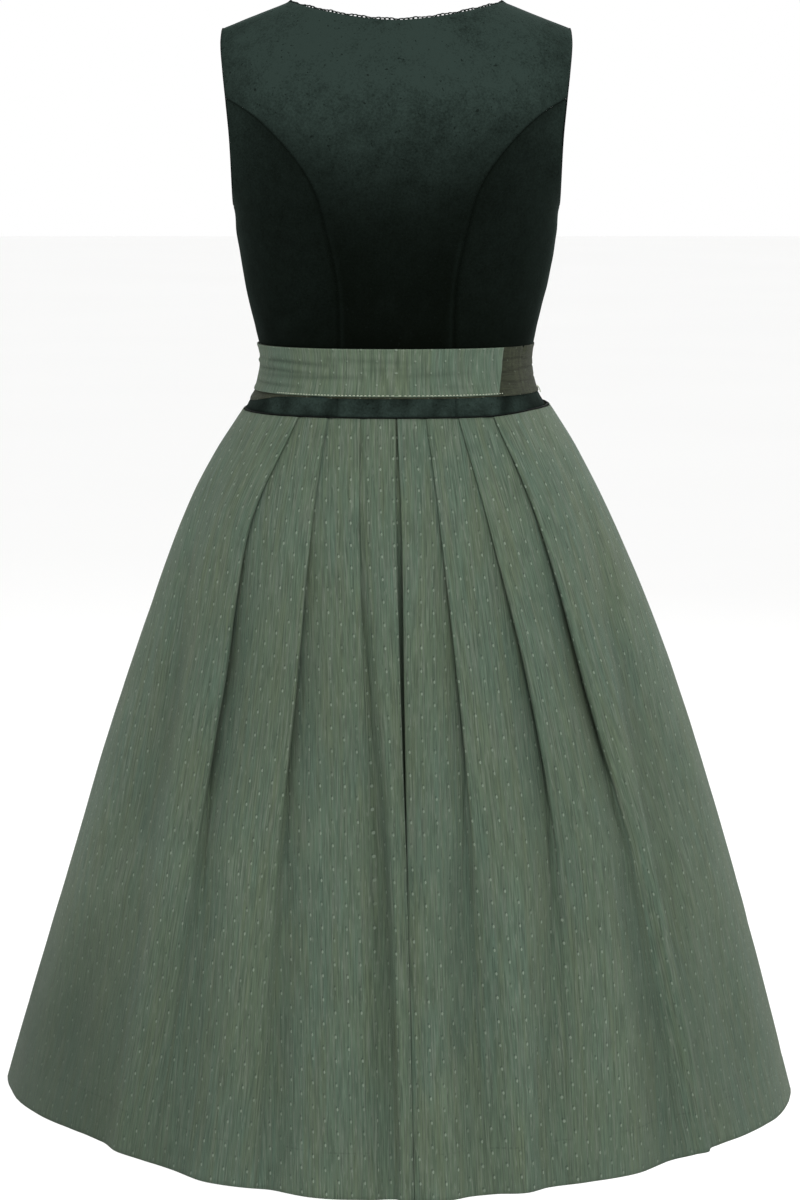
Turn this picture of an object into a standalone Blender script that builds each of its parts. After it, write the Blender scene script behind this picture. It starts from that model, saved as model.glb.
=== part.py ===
"""A sleeveless dirndl dress, worn and filled out, with nobody in it.

Metres, +Z up. The origin is the middle of the natural waist. The wearer's back is at +Y, the front
at -Y and the wearer's left at +X. Every piece of cloth is a closed wall, made from a flat grid of
stations across and up, which is moved on to the form of the bodice or on to the pleated skirt.
"""
import math
from collections import namedtuple
from functools import lru_cache

import bmesh
import bpy
from mathutils import Vector

# Cloth and seams
VELVET = 0.0015            # wall of the bodice panels
SKIRTING = 0.0012          # wall of the skirt cloth
BELTING = 0.0010           # wall of each layer of the belt
SEAM_GAP = 0.0003          # clear space between two pieces that are sewn together
PIPING_RADIUS = 0.0010

# Heights above the natural waist
SHOULDER_NECK = 0.3125     # inner end of the shoulder seam
UNDERARM = 0.128
WAIST_SEAM = -0.055
HEM = -0.699

# Neck and shoulders
NECK_HALF = 0.098          # centre back to the inner end of the shoulder seam
BACK_NECK = 0.2945         # height of the back neckline at the centre
FRONT_NECK = 0.168         # height of the front neckline at the centre
BACK_NECK_CURVE = 1.7      # power of the neckline's curve: 1 is a V, more is a rounder scoop
FRONT_NECK_CURVE = 3.2
SHOULDER_HALF = 0.1575     # centre back to the outer end of the shoulder seam
SHOULDER_FALL = 0.39       # drop of the shoulder seam for each metre outwards
NECK_BLEND = 0.010         # rounding of the two shoulder lines into each other across the neck
SHOULDER_ROLL = 0.110      # height over which the body rolls over into the shoulder seam
TRIM_HEIGHT = 0.0037       # looped edging that stands up from the neckline
TRIM_WALL = 0.0010
SIDE_TIP = 0.0025          # width at which the upper point of a side panel is cut off
PRINCESS_AT_WAIST, SIDE_AT_WAIST = 0.053, 0.139   # x of the two seams where the skirt is sewn on

# Bust cups of the front panels
CUP_RISE = 0.015
CUP_FROM_CENTRE = 0.082
CUP_HEIGHT = 0.098
CUP_SPREAD = 0.042

# Belt
BELT_END_TOP = -0.0957     # where the upper layer ends on the wearer's right, at its top
BELT_END_BOTTOM = -0.0910
BELT_SAG = 0.008           # how far the under layer hangs below on the wearer's left
SAG_TURNS = (0.75, 1.45, 1.90, 3.00)   # turns at which that starts, is full, starts to go and has gone
BELT_JOIN = 0.15           # turn from centre back at which the ends of the under layer meet
BELT_JOIN_GAP = 0.002      # half the space between those ends, as a turn
BELT_OVER_STOP = 1.70      # turn at which the upper layer stops, just round the left side
BELT_EASE = 0.0008         # clear space between the bodice and the belt
BELT_SHOWS = 0.0010        # how far the under layer reaches below the upper one all round
BELT_BOTTOM = -0.038
BELT_TOP = 0.0045
BELT_ROWS = (BELT_BOTTOM, -0.018, BELT_TOP)
LOW_ROWS = BELT_ROWS + (0.032, 0.068, 0.105)
CLOSES_FROM = LOW_ROWS[-1]  # height above which a centre panel's rows follow the neckline
BELT_STEPS = 36

# Waist seam and skirt ring
SEAM_LIFT = 0.004          # rise of the waist seam at the wearer's right side
LIFT_FROM, LIFT_FULL = 0.080, 0.137    # distances from the centre at which that starts and is full
LIFT_ENDS = -0.145         # height by which the rise has died out in the skirt
WAIST_STEPS = 48
RING_STEPS = 96

# Pleats
FOLD_NOSE = 0.0016         # reach of the rounded edge of a fold
PLEAT_OPENS = 0.010        # overlap below which a pleat starts to open into a soft valley
FOLD_LEAST = 0.006         # narrowest half of such a valley
PANEL_SINKS = 0.55         # share of a panel by which the layer folded under its edge has run out
SIDE_SPOTS = (0.4, 0.7)    # shares of the last panel, out to the side seam, that have a column

BACK, FRONT = 1, -1        # sign of Y
LEFT, RIGHT = 1, -1        # sign of X
SHOULDER_TIP = SHOULDER_NECK - SHOULDER_FALL * (math.hypot(SHOULDER_HALF, NECK_BLEND)
                                               - math.hypot(NECK_HALF, NECK_BLEND))
SKIRT_TOP = WAIST_SEAM - PIPING_RADIUS - SEAM_GAP
NECK_SHARE = NECK_HALF / SHOULDER_HALF
BACK_SHARES = [0, 0.17, 0.34, 0.49, 0.58, NECK_SHARE, 0.79, 1]
FRONT_SHARES = [0, 0.18, 0.34, 0.46, 0.54, 0.59, NECK_SHARE, 0.79, 1]

# Base colours, linear
VELVET_GREEN = (0.018, 0.036, 0.030)
TRIM_GREEN = (0.010, 0.020, 0.017)
PIPING_BLACK = (0.004, 0.006, 0.005)
SKIRT_GREEN = (0.105, 0.150, 0.110)
BELT_BROWN = (0.085, 0.088, 0.058)

Ring = namedtuple("Ring", "height half_width back front power")
FORM = [
    Ring(-0.060, 0.1420, 0.1200, 0.1080, 2.3),
    Ring(-0.035, 0.1280, 0.1070, 0.1020, 2.3),
    Ring(-0.010, 0.1238, 0.0970, 0.0990, 2.3),
    Ring(0.015, 0.1280, 0.0945, 0.1010, 2.3),
    Ring(0.060, 0.1385, 0.0980, 0.1090, 2.3),
    Ring(0.105, 0.1460, 0.1060, 0.1180, 2.3),
    Ring(0.128, 0.1485, 0.1090, 0.1190, 2.3),
    Ring(0.155, 0.1620, 0.1120, 0.1140, 2.3),
    Ring(0.190, 0.1745, 0.1130, 0.1020, 2.3),
    Ring(0.240, 0.1800, 0.1080, 0.0840, 2.3),
    Ring(0.320, 0.1820, 0.0900, 0.0620, 2.3),
]
SKIRT = [
    Ring(-0.705, 0.3710, 0.3560, 0.3420, 1.72),
    Ring(-0.600, 0.3420, 0.3190, 0.3080, 1.82),
    Ring(-0.480, 0.3080, 0.2810, 0.2710, 1.92),
    Ring(-0.350, 0.2690, 0.2390, 0.2310, 2.02),
    Ring(-0.220, 0.2230, 0.1930, 0.1870, 2.12),
    Ring(-0.140, 0.1900, 0.1620, 0.1560, 2.18),
    Ring(-0.095, 0.1660, 0.1390, 0.1320, 2.24),
    Ring(-0.068, 0.1485, 0.1255, 0.1145, 2.30),
    Ring(-0.055, 0.1398, 0.1182, 0.1066, 2.30),
]

# Curves on the bodice: the distance from the centre line at each height
Edge = namedtuple("Edge", "height from_centre")
BACK_PRINCESS = [
    Edge(-0.060, 0.0530), Edge(0.008, 0.0518), Edge(0.060, 0.0535), Edge(0.110, 0.0630),
    Edge(0.145, 0.0730), Edge(0.173, 0.0900), Edge(0.198, 0.1125), Edge(0.216, 0.1345),
    Edge(0.230, 0.1600),
]
BACK_ARMHOLE = [
    Edge(0.128, 0.1485), Edge(0.150, 0.1480), Edge(0.189, 0.1490), Edge(0.225, 0.1525),
    Edge(0.250, 0.1555), Edge(0.275, 0.1580), Edge(0.290, 0.1575),
]
FRONT_PRINCESS = [
    Edge(-0.060, 0.0500), Edge(0.008, 0.0500), Edge(0.055, 0.0640), Edge(0.098, 0.0800),
    Edge(0.135, 0.0900), Edge(0.165, 0.1080), Edge(0.185, 0.1290), Edge(0.196, 0.1480),
]
FRONT_ARMHOLE = [
    Edge(0.128, 0.1485), Edge(0.150, 0.1430), Edge(0.175, 0.1375), Edge(0.200, 0.1365),
    Edge(0.230, 0.1400), Edge(0.260, 0.1500), Edge(0.290, 0.1575),
]

# Pleats: a row for each fold. x is where the fold's edge lies, lap how far the cloth turns back under
# it (below nought, how far it has opened into a valley) and deep how far the under layer lies inside.
LEVELS = (-0.055, -0.150, -0.300, -0.450, -0.700)
Pleat = namedtuple("Pleat", "name face side x lap deep")
MM = 0.001
PLEATS = [
    Pleat("centre_left", BACK, LEFT, (1.2, 0.4, -3.2, -8.3, -14.0),
          (27, 26, 18, 14, 11), (4.0, 7.0, 13.0, 12.0, 8.0)),
    Pleat("left_1", BACK, LEFT, (32.5, 33.0, 28.5, 26.2, 20.5),
          (22, 13, -5, -12, -16), (4.0, 5.5, 6.5, 6.0, 4.0)),
    Pleat("left_2", BACK, LEFT, (62.0, 75.5, 91.5, 109.0, 132.0),
          (24, 25, 14, -10, -24), (4.0, 5.5, 8.0, 7.0, 3.0)),
    Pleat("left_3", BACK, LEFT, (88.0, 131.5, 160.0, 184.0, 225.0),
          (38, 36, 20, -9, -28), (4.0, 6.5, 10.0, 7.0, 3.0)),
    Pleat("left_side", BACK, LEFT, (128.0, 186.0, 221.0, 249.0, 292.0),
          (-10, -14, -20, -26, -34), (1.0, 4.0, 6.0, 4.0, 2.0)),
    Pleat("centre_right", BACK, RIGHT, (-0.8, -5.2, -7.6, -11.0, -16.8),
          (22, 24, 16, 13, 11), (4.0, 7.0, 13.0, 12.0, 8.0)),
    Pleat("right_1", BACK, RIGHT, (-27.0, -39.3, -56.0, -69.0, -85.0),
          (22, 22, 10, -10, -18), (4.0, 5.5, 8.0, 6.0, 3.0)),
    Pleat("right_2", BACK, RIGHT, (-55.6, -83.0, -117.6, -140.0, -158.0),
          (25, 26, 16, -6, -26), (4.0, 6.0, 10.0, 7.0, 3.0)),
    Pleat("right_3", BACK, RIGHT, (-87.2, -128.0, -168.0, -210.0, -262.0),
          (38, 36, 15, -10, -28), (4.0, 8.0, 11.0, 6.0, 3.0)),
    Pleat("right_side", BACK, RIGHT, (-128.0, -181.0, -217.0, -251.0, -304.0),
          (-10, -14, -20, -26, -30), (1.0, 4.0, 6.0, 5.0, 2.0)),
    Pleat("front_left_1", FRONT, LEFT, (26.0, 36.0, 47.0, 58.0, 78.0),
          (24, 24, 10, -10, -18), (4.0, 5.5, 8.0, 6.0, 3.5)),
    Pleat("front_left_2", FRONT, LEFT, (57.0, 80.0, 108.0, 132.0, 164.0),
          (25, 26, 15, -8, -24), (4.0, 6.0, 9.0, 7.0, 3.0)),
    Pleat("front_left_3", FRONT, LEFT, (88.0, 128.0, 166.0, 200.0, 252.0),
          (36, 34, 18, -10, -28), (4.0, 7.0, 10.0, 6.0, 3.0)),
    Pleat("front_right_1", FRONT, RIGHT, (-27.5, -34.0, -42.0, -55.0, -72.0),
          (24, 22, 8, -10, -18), (4.0, 5.5, 7.5, 6.0, 3.5)),
    Pleat("front_right_2", FRONT, RIGHT, (-58.5, -82.0, -112.0, -128.0, -152.0),
          (25, 26, 16, -8, -24), (4.0, 6.0, 9.5, 7.0, 3.0)),
    Pleat("front_right_3", FRONT, RIGHT, (-89.0, -131.0, -171.0, -207.0, -258.0),
          (36, 34, 16, -12, -28), (4.0, 7.0, 10.0, 6.0, 3.0)),
]
CROWN = (0.0, 0.0010, 0.0045, 0.0050, 0.0035)   # how far a panel bellies out between two folds
SKIRT_ROWS = (-0.082, -0.125, -0.190, -0.275, -0.385, -0.520, HEM)

# An opened fold: how far each point is from the fold's line, as a share of the valley's half width, and
# how far it has sunk, as a share of the valley's depth
Valley = namedtuple("Valley", "along sunk")
VALLEY = [
    Valley(-1.35, 0.80), Valley(-1.00, 1.00), Valley(-0.72, 0.90), Valley(-0.50, 0.68), Valley(-0.30, 0.42),
    Valley(-0.12, 0.20), Valley(0.08, 0.00),
]


def smooth_between(knots, values, place):
    """The value at a place, on a smooth curve through the knots that stays level beyond them."""
    if place <= knots[0]:
        return values[0]
    if place >= knots[-1]:
        return values[-1]
    index = max(k for k in range(len(knots) - 1) if knots[k] <= place)
    span = knots[index + 1] - knots[index]

    def rise(k):
        low, high = max(k - 1, 0), min(k + 1, len(knots) - 1)
        return span * (values[high] - values[low]) / (knots[high] - knots[low])

    t = (place - knots[index]) / span
    start, end = values[index], values[index + 1]
    return (start * (2 * t ** 3 - 3 * t ** 2 + 1) + rise(index) * (t ** 3 - 2 * t ** 2 + t)
            + end * (3 * t ** 2 - 2 * t ** 3) + rise(index + 1) * (t ** 3 - t ** 2))


def mix(a, b, share):
    return a + (b - a) * share


def ramp(low, high, value):
    """0 below low, 1 above high and a smooth step between them."""
    share = min(max((value - low) / (high - low), 0.0), 1.0)
    return share * share * (3 - 2 * share)


def ring_at(rings, height):
    heights = [row.height for row in rings]
    return Ring(height, *(smooth_between(heights, [row[k] for row in rings], height) for k in (1, 2, 3, 4)))


def edge_at(edge, height):
    return smooth_between([row.height for row in edge], [row.from_centre for row in edge], height)


# The form of the bodice

def shoulder_height(x):
    """Height of the shoulder seam's line at x, carried on smoothly across the neck."""
    return SHOULDER_NECK - SHOULDER_FALL * (math.hypot(x, NECK_BLEND) - math.hypot(NECK_HALF, NECK_BLEND))


def form_angle(height, x):
    """The turn from the centre line, up to a right angle at the side, at which the ring reaches x."""
    ring = ring_at(FORM, height)
    return math.asin(min(abs(x) / ring.half_width, 1.0) ** (ring.power / 2))


def on_form(face, side, height, angle):
    """The point of the bodice's outer face at a turn from the centre line."""
    ring = ring_at(FORM, height)
    x = ring.half_width * math.sin(angle) ** (2 / ring.power)
    depth = ring.back if face == BACK else ring.front
    depth *= max(math.cos(angle), 0.0) ** (2 / ring.power)
    fall = min(max((shoulder_height(x) - height) / SHOULDER_ROLL, 0.0), 1.0)
    depth *= math.sqrt(1 - (1 - fall) ** 2)
    if face == FRONT:
        across = (x - CUP_FROM_CENTRE) / CUP_SPREAD
        up = (height - CUP_HEIGHT) / CUP_SPREAD
        depth += CUP_RISE * math.exp(-across * across - up * up) * math.cos(angle)
    return Vector((side * x, face * depth, height))


def outward(face, side, height, angle):
    """The direction in which the bodice's outer face looks."""
    step = 1e-4
    before, after = max(angle - step, 0.0), min(angle + step, math.pi / 2)
    along = on_form(face, side, height, after) - on_form(face, side, height, before)
    up = on_form(face, side, height + step, angle) - on_form(face, side, height - step, angle)
    return along.cross(up).normalized() * -face * side


def seam_lift(x):
    """How far the waist seam rises, which it does only at the wearer's right side."""
    return SEAM_LIFT * ramp(LIFT_FROM, LIFT_FULL, -x)


def panel_bottom(x):
    return WAIST_SEAM + PIPING_RADIUS + SEAM_GAP + seam_lift(x)


def neck_height(face, x):
    """Height of the neckline at x, and beyond the neck that of the shoulder seam."""
    if x >= NECK_HALF:
        return shoulder_height(x)
    low, power = (BACK_NECK, BACK_NECK_CURVE) if face == BACK else (FRONT_NECK, FRONT_NECK_CURVE)
    return mix(low, SHOULDER_NECK, (x / NECK_HALF) ** power)


def princess(face, height, away):
    """The princess seam's distance from the centre, at the edge of the panel inside or outside it."""
    edge = BACK_PRINCESS if face == BACK else FRONT_PRINCESS
    step = 0.001
    slant = (edge_at(edge, height + step) - edge_at(edge, height - step)) / (2 * step)
    return edge_at(edge, height) + away * SEAM_GAP / 2 * math.hypot(1.0, slant)


def armhole(face, height):
    return edge_at(BACK_ARMHOLE if face == BACK else FRONT_ARMHOLE, height)


def meeting_height(face, width):
    """Where the side panel has narrowed to a width, on its way up between princess seam and armhole."""
    height = UNDERARM
    while armhole(face, height) - princess(face, height, 1) > width:
        height += 0.0005
    return height


def armhole_heights(face):
    """The rows that the panels and the piping share along the armhole, from the underarm up."""
    meeting = meeting_height(face, 0.0)
    low = [mix(UNDERARM, meeting, share) for share in (0, 0.05, 0.18, 0.42, 0.70)]
    low += [meeting_height(face, SIDE_TIP), meeting]
    return low, [mix(meeting, SHOULDER_TIP, share) for share in (0.30, 0.60, 0.83, 0.95, 1)]


# Makers of pieces

def new_object(name, data, material):
    obj = bpy.data.objects.new(name, data)
    data.materials.append(material)
    bpy.context.scene.collection.objects.link(obj)
    return obj


def cloth(name, across, up, place, material):
    """A closed wall: a grid with a vertex at every station, thickened, then moved to its place.

    place takes a station across, a station up, and 0 for the inner face or 1 for the outer one.
    """
    bm = bmesh.new()
    columns, rows = len(across) - 1, len(up) - 1
    bmesh.ops.create_grid(bm, x_segments=columns, y_segments=rows, size=0.5)
    for element in bmesh.ops.extrude_face_region(bm, geom=bm.faces[:])["geom"]:
        if isinstance(element, bmesh.types.BMVert):
            element.co.z = 1.0
    bmesh.ops.recalc_face_normals(bm, faces=bm.faces[:])
    for vert in bm.verts:
        column = round((vert.co.x + 0.5) * columns)
        row = round((vert.co.y + 0.5) * rows)
        vert.co = place(across[column], up[row], vert.co.z)
    if bm.calc_volume(signed=True) < 0:
        bmesh.ops.reverse_faces(bm, faces=bm.faces[:])
    for face in bm.faces:
        face.smooth = True
    mesh = bpy.data.meshes.new(name)
    bm.to_mesh(mesh)
    bm.free()
    return new_object(name, mesh, material)


def piping(name, points, material):
    """A closed loop of round piping through its points."""
    curve = bpy.data.curves.new(name, "CURVE")
    curve.dimensions = "3D"
    curve.bevel_depth = PIPING_RADIUS
    curve.bevel_resolution = 0
    line = curve.splines.new("POLY")
    line.points.add(len(points) - 1)
    for point, place in zip(line.points, points):
        point.co = (*place, 1.0)
    line.use_cyclic_u = True
    return new_object(name, curve, material)


def colour(name, rgb, roughness):
    material = bpy.data.materials.new(name)
    material.use_nodes = True
    shader = material.node_tree.nodes["Principled BSDF"]
    shader.inputs["Base Color"].default_value = (*rgb, 1.0)
    shader.inputs["Roughness"].default_value = roughness
    shader.inputs["Metallic"].default_value = 0.0
    return material


# The bodice

def bodice_wall(face, side, height, angle, outer):
    """A point of a bodice panel: on the form, or a wall's thickness inside it."""
    point = on_form(face, side, height, angle)
    point -= outward(face, side, height, angle) * VELVET * (1 - outer)
    point.y = face * (max(face * point.y, 0.0) + SEAM_GAP / 2)
    return point


def centre_spot(face, share, level):
    """Height and x of a centre panel's point; its upper rows close up towards neck and shoulder."""
    height = max(level, panel_bottom(0.0))
    if level > CLOSES_FROM:
        top = neck_height(face, share * SHOULDER_HALF)
        height = mix(CLOSES_FROM, top, (level - CLOSES_FROM) / (SHOULDER_TIP - CLOSES_FROM))
    half = armhole(face, height) if height > meeting_height(face, 0.0) else princess(face, height, -1)
    start = SEAM_GAP / 2 if face == FRONT else 0.0
    return height, mix(start, half, share)


def centre_rows(face):
    low, high = armhole_heights(face)
    return (WAIST_SEAM,) + LOW_ROWS + tuple(low + high)


def back_panel(material):
    def place(share, level, outer):
        height, x = centre_spot(BACK, abs(share), level)
        side = LEFT if share > 0 else RIGHT
        return bodice_wall(BACK, side, height, form_angle(height, x), outer)

    across = [-share for share in BACK_SHARES[:0:-1]] + BACK_SHARES
    cloth("bodice_back", across, centre_rows(BACK), place, material)


def front_panel(name, side, material):
    def place(share, level, outer):
        height, x = centre_spot(FRONT, share, level)
        return bodice_wall(FRONT, side, height, form_angle(height, x), outer)

    cloth(name, FRONT_SHARES, centre_rows(FRONT), place, material)


def side_panel(name, face, side, material):
    """A side panel, from the princess seam to the side seam and the lower part of the armhole."""
    def place(across, height, outer):
        if height == WAIST_SEAM:
            height = panel_bottom(side * mix(PRINCESS_AT_WAIST, SIDE_AT_WAIST, across))
        start = form_angle(height, princess(face, height, 1))
        end = form_angle(height, armhole(face, height)) if height > UNDERARM else math.pi / 2
        return bodice_wall(face, side, height, mix(start, end, across), outer)

    rows = (WAIST_SEAM,) + LOW_ROWS + tuple(armhole_heights(face)[0][:-1])
    cloth(name, (0, 0.28, 0.56, 0.80, 1), rows, place, material)


def armhole_piping(name, side, material):
    """Piping round an armhole: up the back from the underarm, over the shoulder and down the front."""
    spots = []
    for face in (BACK, FRONT):
        low, high = armhole_heights(face)
        heights = low[1:] + high[:-1]
        for height in heights if face == BACK else heights[::-1]:
            angle = form_angle(height, armhole(face, height))
            spots.append((on_form(face, side, height, angle), outward(face, side, height, angle)))
        if face == BACK:
            tip = Vector((side * SHOULDER_HALF, 0.0, SHOULDER_TIP))
            spots.append((tip, Vector((side * SHOULDER_FALL, 0.0, 1.0)).normalized()))
    pit = on_form(BACK, side, UNDERARM, math.pi / 2)
    spots.append((pit, outward(BACK, side, UNDERARM, math.pi / 2)))
    points = []
    for k, (point, facing) in enumerate(spots):
        along = spots[(k + 1) % len(spots)][0] - spots[k - 1][0]
        away = along.cross(facing).normalized() * -side
        points.append(point + away * (PIPING_RADIUS + 2 * SEAM_GAP) - facing * VELVET / 2)
    piping(name, points, material)


def waist_piping(material):
    """Piping in the waist seam, all round."""
    points = []
    for k in range(WAIST_STEPS):
        turn = 2 * math.pi * k / WAIST_STEPS
        face, side, angle = around(turn)
        point = on_form(face, side, WAIST_SEAM, angle)
        point.z += seam_lift(point.x)
        points.append(point)
    piping("waist_piping", points, material)


def neck_trim(material):
    """The looped edging, a low wall that stands on the neckline from one front edge to the other."""
    spots = []
    for face, side, shares in ((FRONT, LEFT, FRONT_SHARES), (BACK, LEFT, BACK_SHARES[::-1]),
                               (BACK, RIGHT, BACK_SHARES[1:]), (FRONT, RIGHT, FRONT_SHARES[::-1])):
        for share in shares:
            if share > NECK_SHARE or (share == NECK_SHARE and face == FRONT):
                continue
            height, x = centre_spot(face, share, SHOULDER_TIP)
            angle = form_angle(height, x)
            point = on_form(face, side, height, angle)
            point.y += face * SEAM_GAP / 2 * (share < NECK_SHARE)
            spots.append((point, outward(face, side, height, angle)))
    tops = []
    for k, (point, facing) in enumerate(spots):
        along = spots[min(k + 1, len(spots) - 1)][0] - spots[max(k - 1, 0)][0]
        tops.append(facing.cross(along).normalized())

    def place(spot, up, outer):
        point, facing = spots[spot]
        rise = 2 * SEAM_GAP + up * TRIM_HEIGHT
        return point + tops[spot] * rise - facing * (VELVET / 2 + TRIM_WALL * (0.5 - outer))

    cloth("neck_trim", range(len(spots)), (0, 1), place, material)


# The belt

def around(turn):
    """Face, side and angle of a turn all round the body, from centre back towards the wearer's left."""
    turn = (turn + math.pi) % (2 * math.pi) - math.pi
    side = LEFT if turn >= 0 else RIGHT
    angle = abs(turn)
    if angle <= math.pi / 2:
        return BACK, side, angle
    return FRONT, side, math.pi - angle


def belt_wall(turn, height, out):
    face, side, angle = around(turn)
    return on_form(face, side, height, angle) + outward(face, side, height, angle) * out


def belt_turns(start, stop):
    """The columns that both layers share, between two turns."""
    step = 2 * math.pi / BELT_STEPS
    return [k * step for k in range(-BELT_STEPS, 2 * BELT_STEPS) if start + step / 3 < k * step < stop - step / 3]


def belt_under(material):
    """The under layer, round the whole waist, with its ends edge to edge behind the upper layer."""
    start, stop = BELT_JOIN + BELT_JOIN_GAP, BELT_JOIN + 2 * math.pi - BELT_JOIN_GAP

    sag_starts, sag_full, sag_goes, sag_ends = SAG_TURNS

    def place(turn, height, outer):
        if height < BELT_BOTTOM:
            height -= BELT_SAG * ramp(sag_starts, sag_full, turn) * (1 - ramp(sag_goes, sag_ends, turn))
        return belt_wall(turn, height, BELT_EASE + BELTING * outer)

    turns = [start] + belt_turns(start, stop) + [stop]
    cloth("belt_under", turns, (BELT_BOTTOM - BELT_SHOWS,) + BELT_ROWS, place, material)


def belt_over(material):
    """The upper layer, from its free end at the wearer's right back to just round the left side."""
    def place(turn, height, outer):
        if turn == start:
            share = (height - BELT_BOTTOM) / (BELT_TOP - BELT_BOTTOM)
            turn = -form_angle(height, mix(BELT_END_BOTTOM, BELT_END_TOP, share))
        return belt_wall(turn, height, BELT_EASE + SEAM_GAP + BELTING * (1 + outer))

    start = -form_angle(BELT_TOP, BELT_END_TOP)
    cloth("belt_over", [start] + belt_turns(start, BELT_OVER_STOP), BELT_ROWS, place, material)


# The skirt

@lru_cache(maxsize=None)
def skirt_ring(face, height):
    """A quarter of the skirt's ring, centre to side: points and the cloth's length up to each."""
    ring = ring_at(SKIRT, height)
    depth = ring.back if face == BACK else ring.front
    points, lengths = [], []
    for k in range(RING_STEPS + 1):
        angle = math.pi / 2 * k / RING_STEPS
        share = 2 / ring.power
        points.append((ring.half_width * math.sin(angle) ** share, depth * max(math.cos(angle), 0.0) ** share))
        lengths.append(lengths[-1] + math.dist(points[-1], points[-2]) if k else 0.0)
    return points, lengths


def length_at(face, height, x):
    """Length along the ring from the centre line to x, below nought on the far side of it."""
    points, lengths = skirt_ring(face, height)
    k = next(k for k in range(1, RING_STEPS + 1) if points[k][0] >= abs(x) or k == RING_STEPS)
    share = (abs(x) - points[k - 1][0]) / (points[k][0] - points[k - 1][0])
    return math.copysign(mix(lengths[k - 1], lengths[k], share), x)


def on_skirt(face, height, along, out):
    """The place so far along the ring from the centre line, and so far out from it."""
    points, lengths = skirt_ring(face, height)
    reach = min(abs(along), lengths[-1])
    k = next(k for k in range(1, RING_STEPS + 1) if lengths[k] >= reach or k == RING_STEPS)
    share = (reach - lengths[k - 1]) / (lengths[k] - lengths[k - 1])
    (x0, y0), (x1, y1) = points[k - 1], points[k]

    def facing(j):
        before, after = points[max(j - 1, 0)], points[min(j + 1, RING_STEPS)]
        if j == 0:
            return 0.0, 1.0
        if j == RING_STEPS:
            return 1.0, 0.0
        span = math.dist(before, after)
        return (before[1] - after[1]) / span, (after[0] - before[0]) / span

    (u0, v0), (u1, v1) = facing(k - 1), facing(k)
    x = mix(x0, x1, share) + out * mix(u0, u1, share)
    y = mix(y0, y1, share) + out * mix(v0, v1, share)
    return Vector((math.copysign(x, along), face * y, height))


def at_level(values, height):
    return smooth_between(LEVELS[::-1], values[::-1], height)


def fold_of(pleat, height, room):
    """The cloth's path through one fold, outwards from the centre: pairs of length along and out."""
    side = pleat.side
    edge = side * length_at(pleat.face, height, MM * at_level(pleat.x, height))
    lap = MM * at_level(pleat.lap, height)
    deep = MM * at_level(pleat.deep, height)
    spread = max(-lap, FOLD_LEAST)
    sunk = max(lap, 0.0) / (room - edge)
    folded = ((edge - FOLD_NOSE, 1), (edge + lap - FOLD_NOSE, 1 + sunk), (edge + lap, 0.75 + sunk),
              (edge + lap - FOLD_NOSE, 0.5 + sunk), (edge + FOLD_NOSE, 0.5), (edge, 0.25), (edge + FOLD_NOSE, 0))
    opened = 1 - ramp(-PLEAT_OPENS, PLEAT_OPENS, lap)
    return edge, deep, opened, [
        (mix(along, edge + spread * spot.along, opened), -deep * mix(drop, spot.sunk, opened))
        for (along, drop), spot in zip(folded, VALLEY)]


@lru_cache(maxsize=None)
def skirt_path(face, height):
    """The cloth's middle, from the wearer's right side seam round the face to the left one."""
    crown = at_level(CROWN, height)
    seam = skirt_ring(face, height)[1][-1] - SEAM_GAP / 2
    halves = {}
    for side in (LEFT, RIGHT):
        pleats = [pleat for pleat in PLEATS if pleat.face == face and pleat.side == side]
        edges = [side * length_at(face, height, MM * at_level(pleat.x, height)) for pleat in pleats]
        path = []
        for pleat, room in zip(pleats, edges[1:] + [seam]):
            edge, deep, opened, fold = fold_of(pleat, height, room)
            start = path[-1][0] if path else 0.0
            if not pleat.name.startswith("centre"):
                sunk = deep * PANEL_SINKS * (1 - opened)
                path.append((mix(start, fold[0][0], PANEL_SINKS), crown - sunk))
                path += fold
            else:
                path += fold[1:]
        near, far = (mix(path[-1][0], seam, share) for share in SIDE_SPOTS)
        path += [(near, crown), (far, crown / 2), (seam, 0.0)]
        halves[side] = path
    middle = (halves[LEFT][0][1] + halves[RIGHT][0][1]) / 2 if face == BACK else crown
    return [(-along, out) for along, out in halves[RIGHT][::-1]] + [(0.0, middle)] + halves[LEFT]


@lru_cache(maxsize=None)
def skirt_line(face, height):
    """Each point of the path with the direction, in the ring's own plane, in which the cloth looks."""
    path = skirt_path(face, height)
    line = []
    for k, (along, out) in enumerate(path):
        facings = []
        for a, b in ((k - 1, k), (k, k + 1)):
            if a >= 0 and b < len(path):
                step = (path[b][0] - path[a][0], path[b][1] - path[a][1])
                size = math.hypot(*step)
                facings.append((-step[1] / size, step[0] / size))
        look = [sum(values) for values in zip(*facings)]
        size = math.hypot(*look)
        line.append((along, out, look[0] / size, look[1] / size))
    return line


def skirt_half(name, face, material):
    """Half of the skirt, back or front, from side seam to side seam, with its pleats."""
    rows = (SKIRT_TOP,) + SKIRT_ROWS

    def place(column, height, outer):
        along, out, look_along, look_out = skirt_line(face, height)[column]
        off = SKIRTING * (outer - 0.5)
        if column in (0, last):
            look_along, look_out = 0.0, 1.0
        point = on_skirt(face, height, along + look_along * off, out + look_out * off)
        point.z += seam_lift(point.x) * ramp(LIFT_ENDS, SKIRT_TOP, height)
        return point

    last = len(skirt_line(face, SKIRT_TOP)) - 1
    cloth(name, range(last + 1), rows[::-1], place, material)


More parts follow.
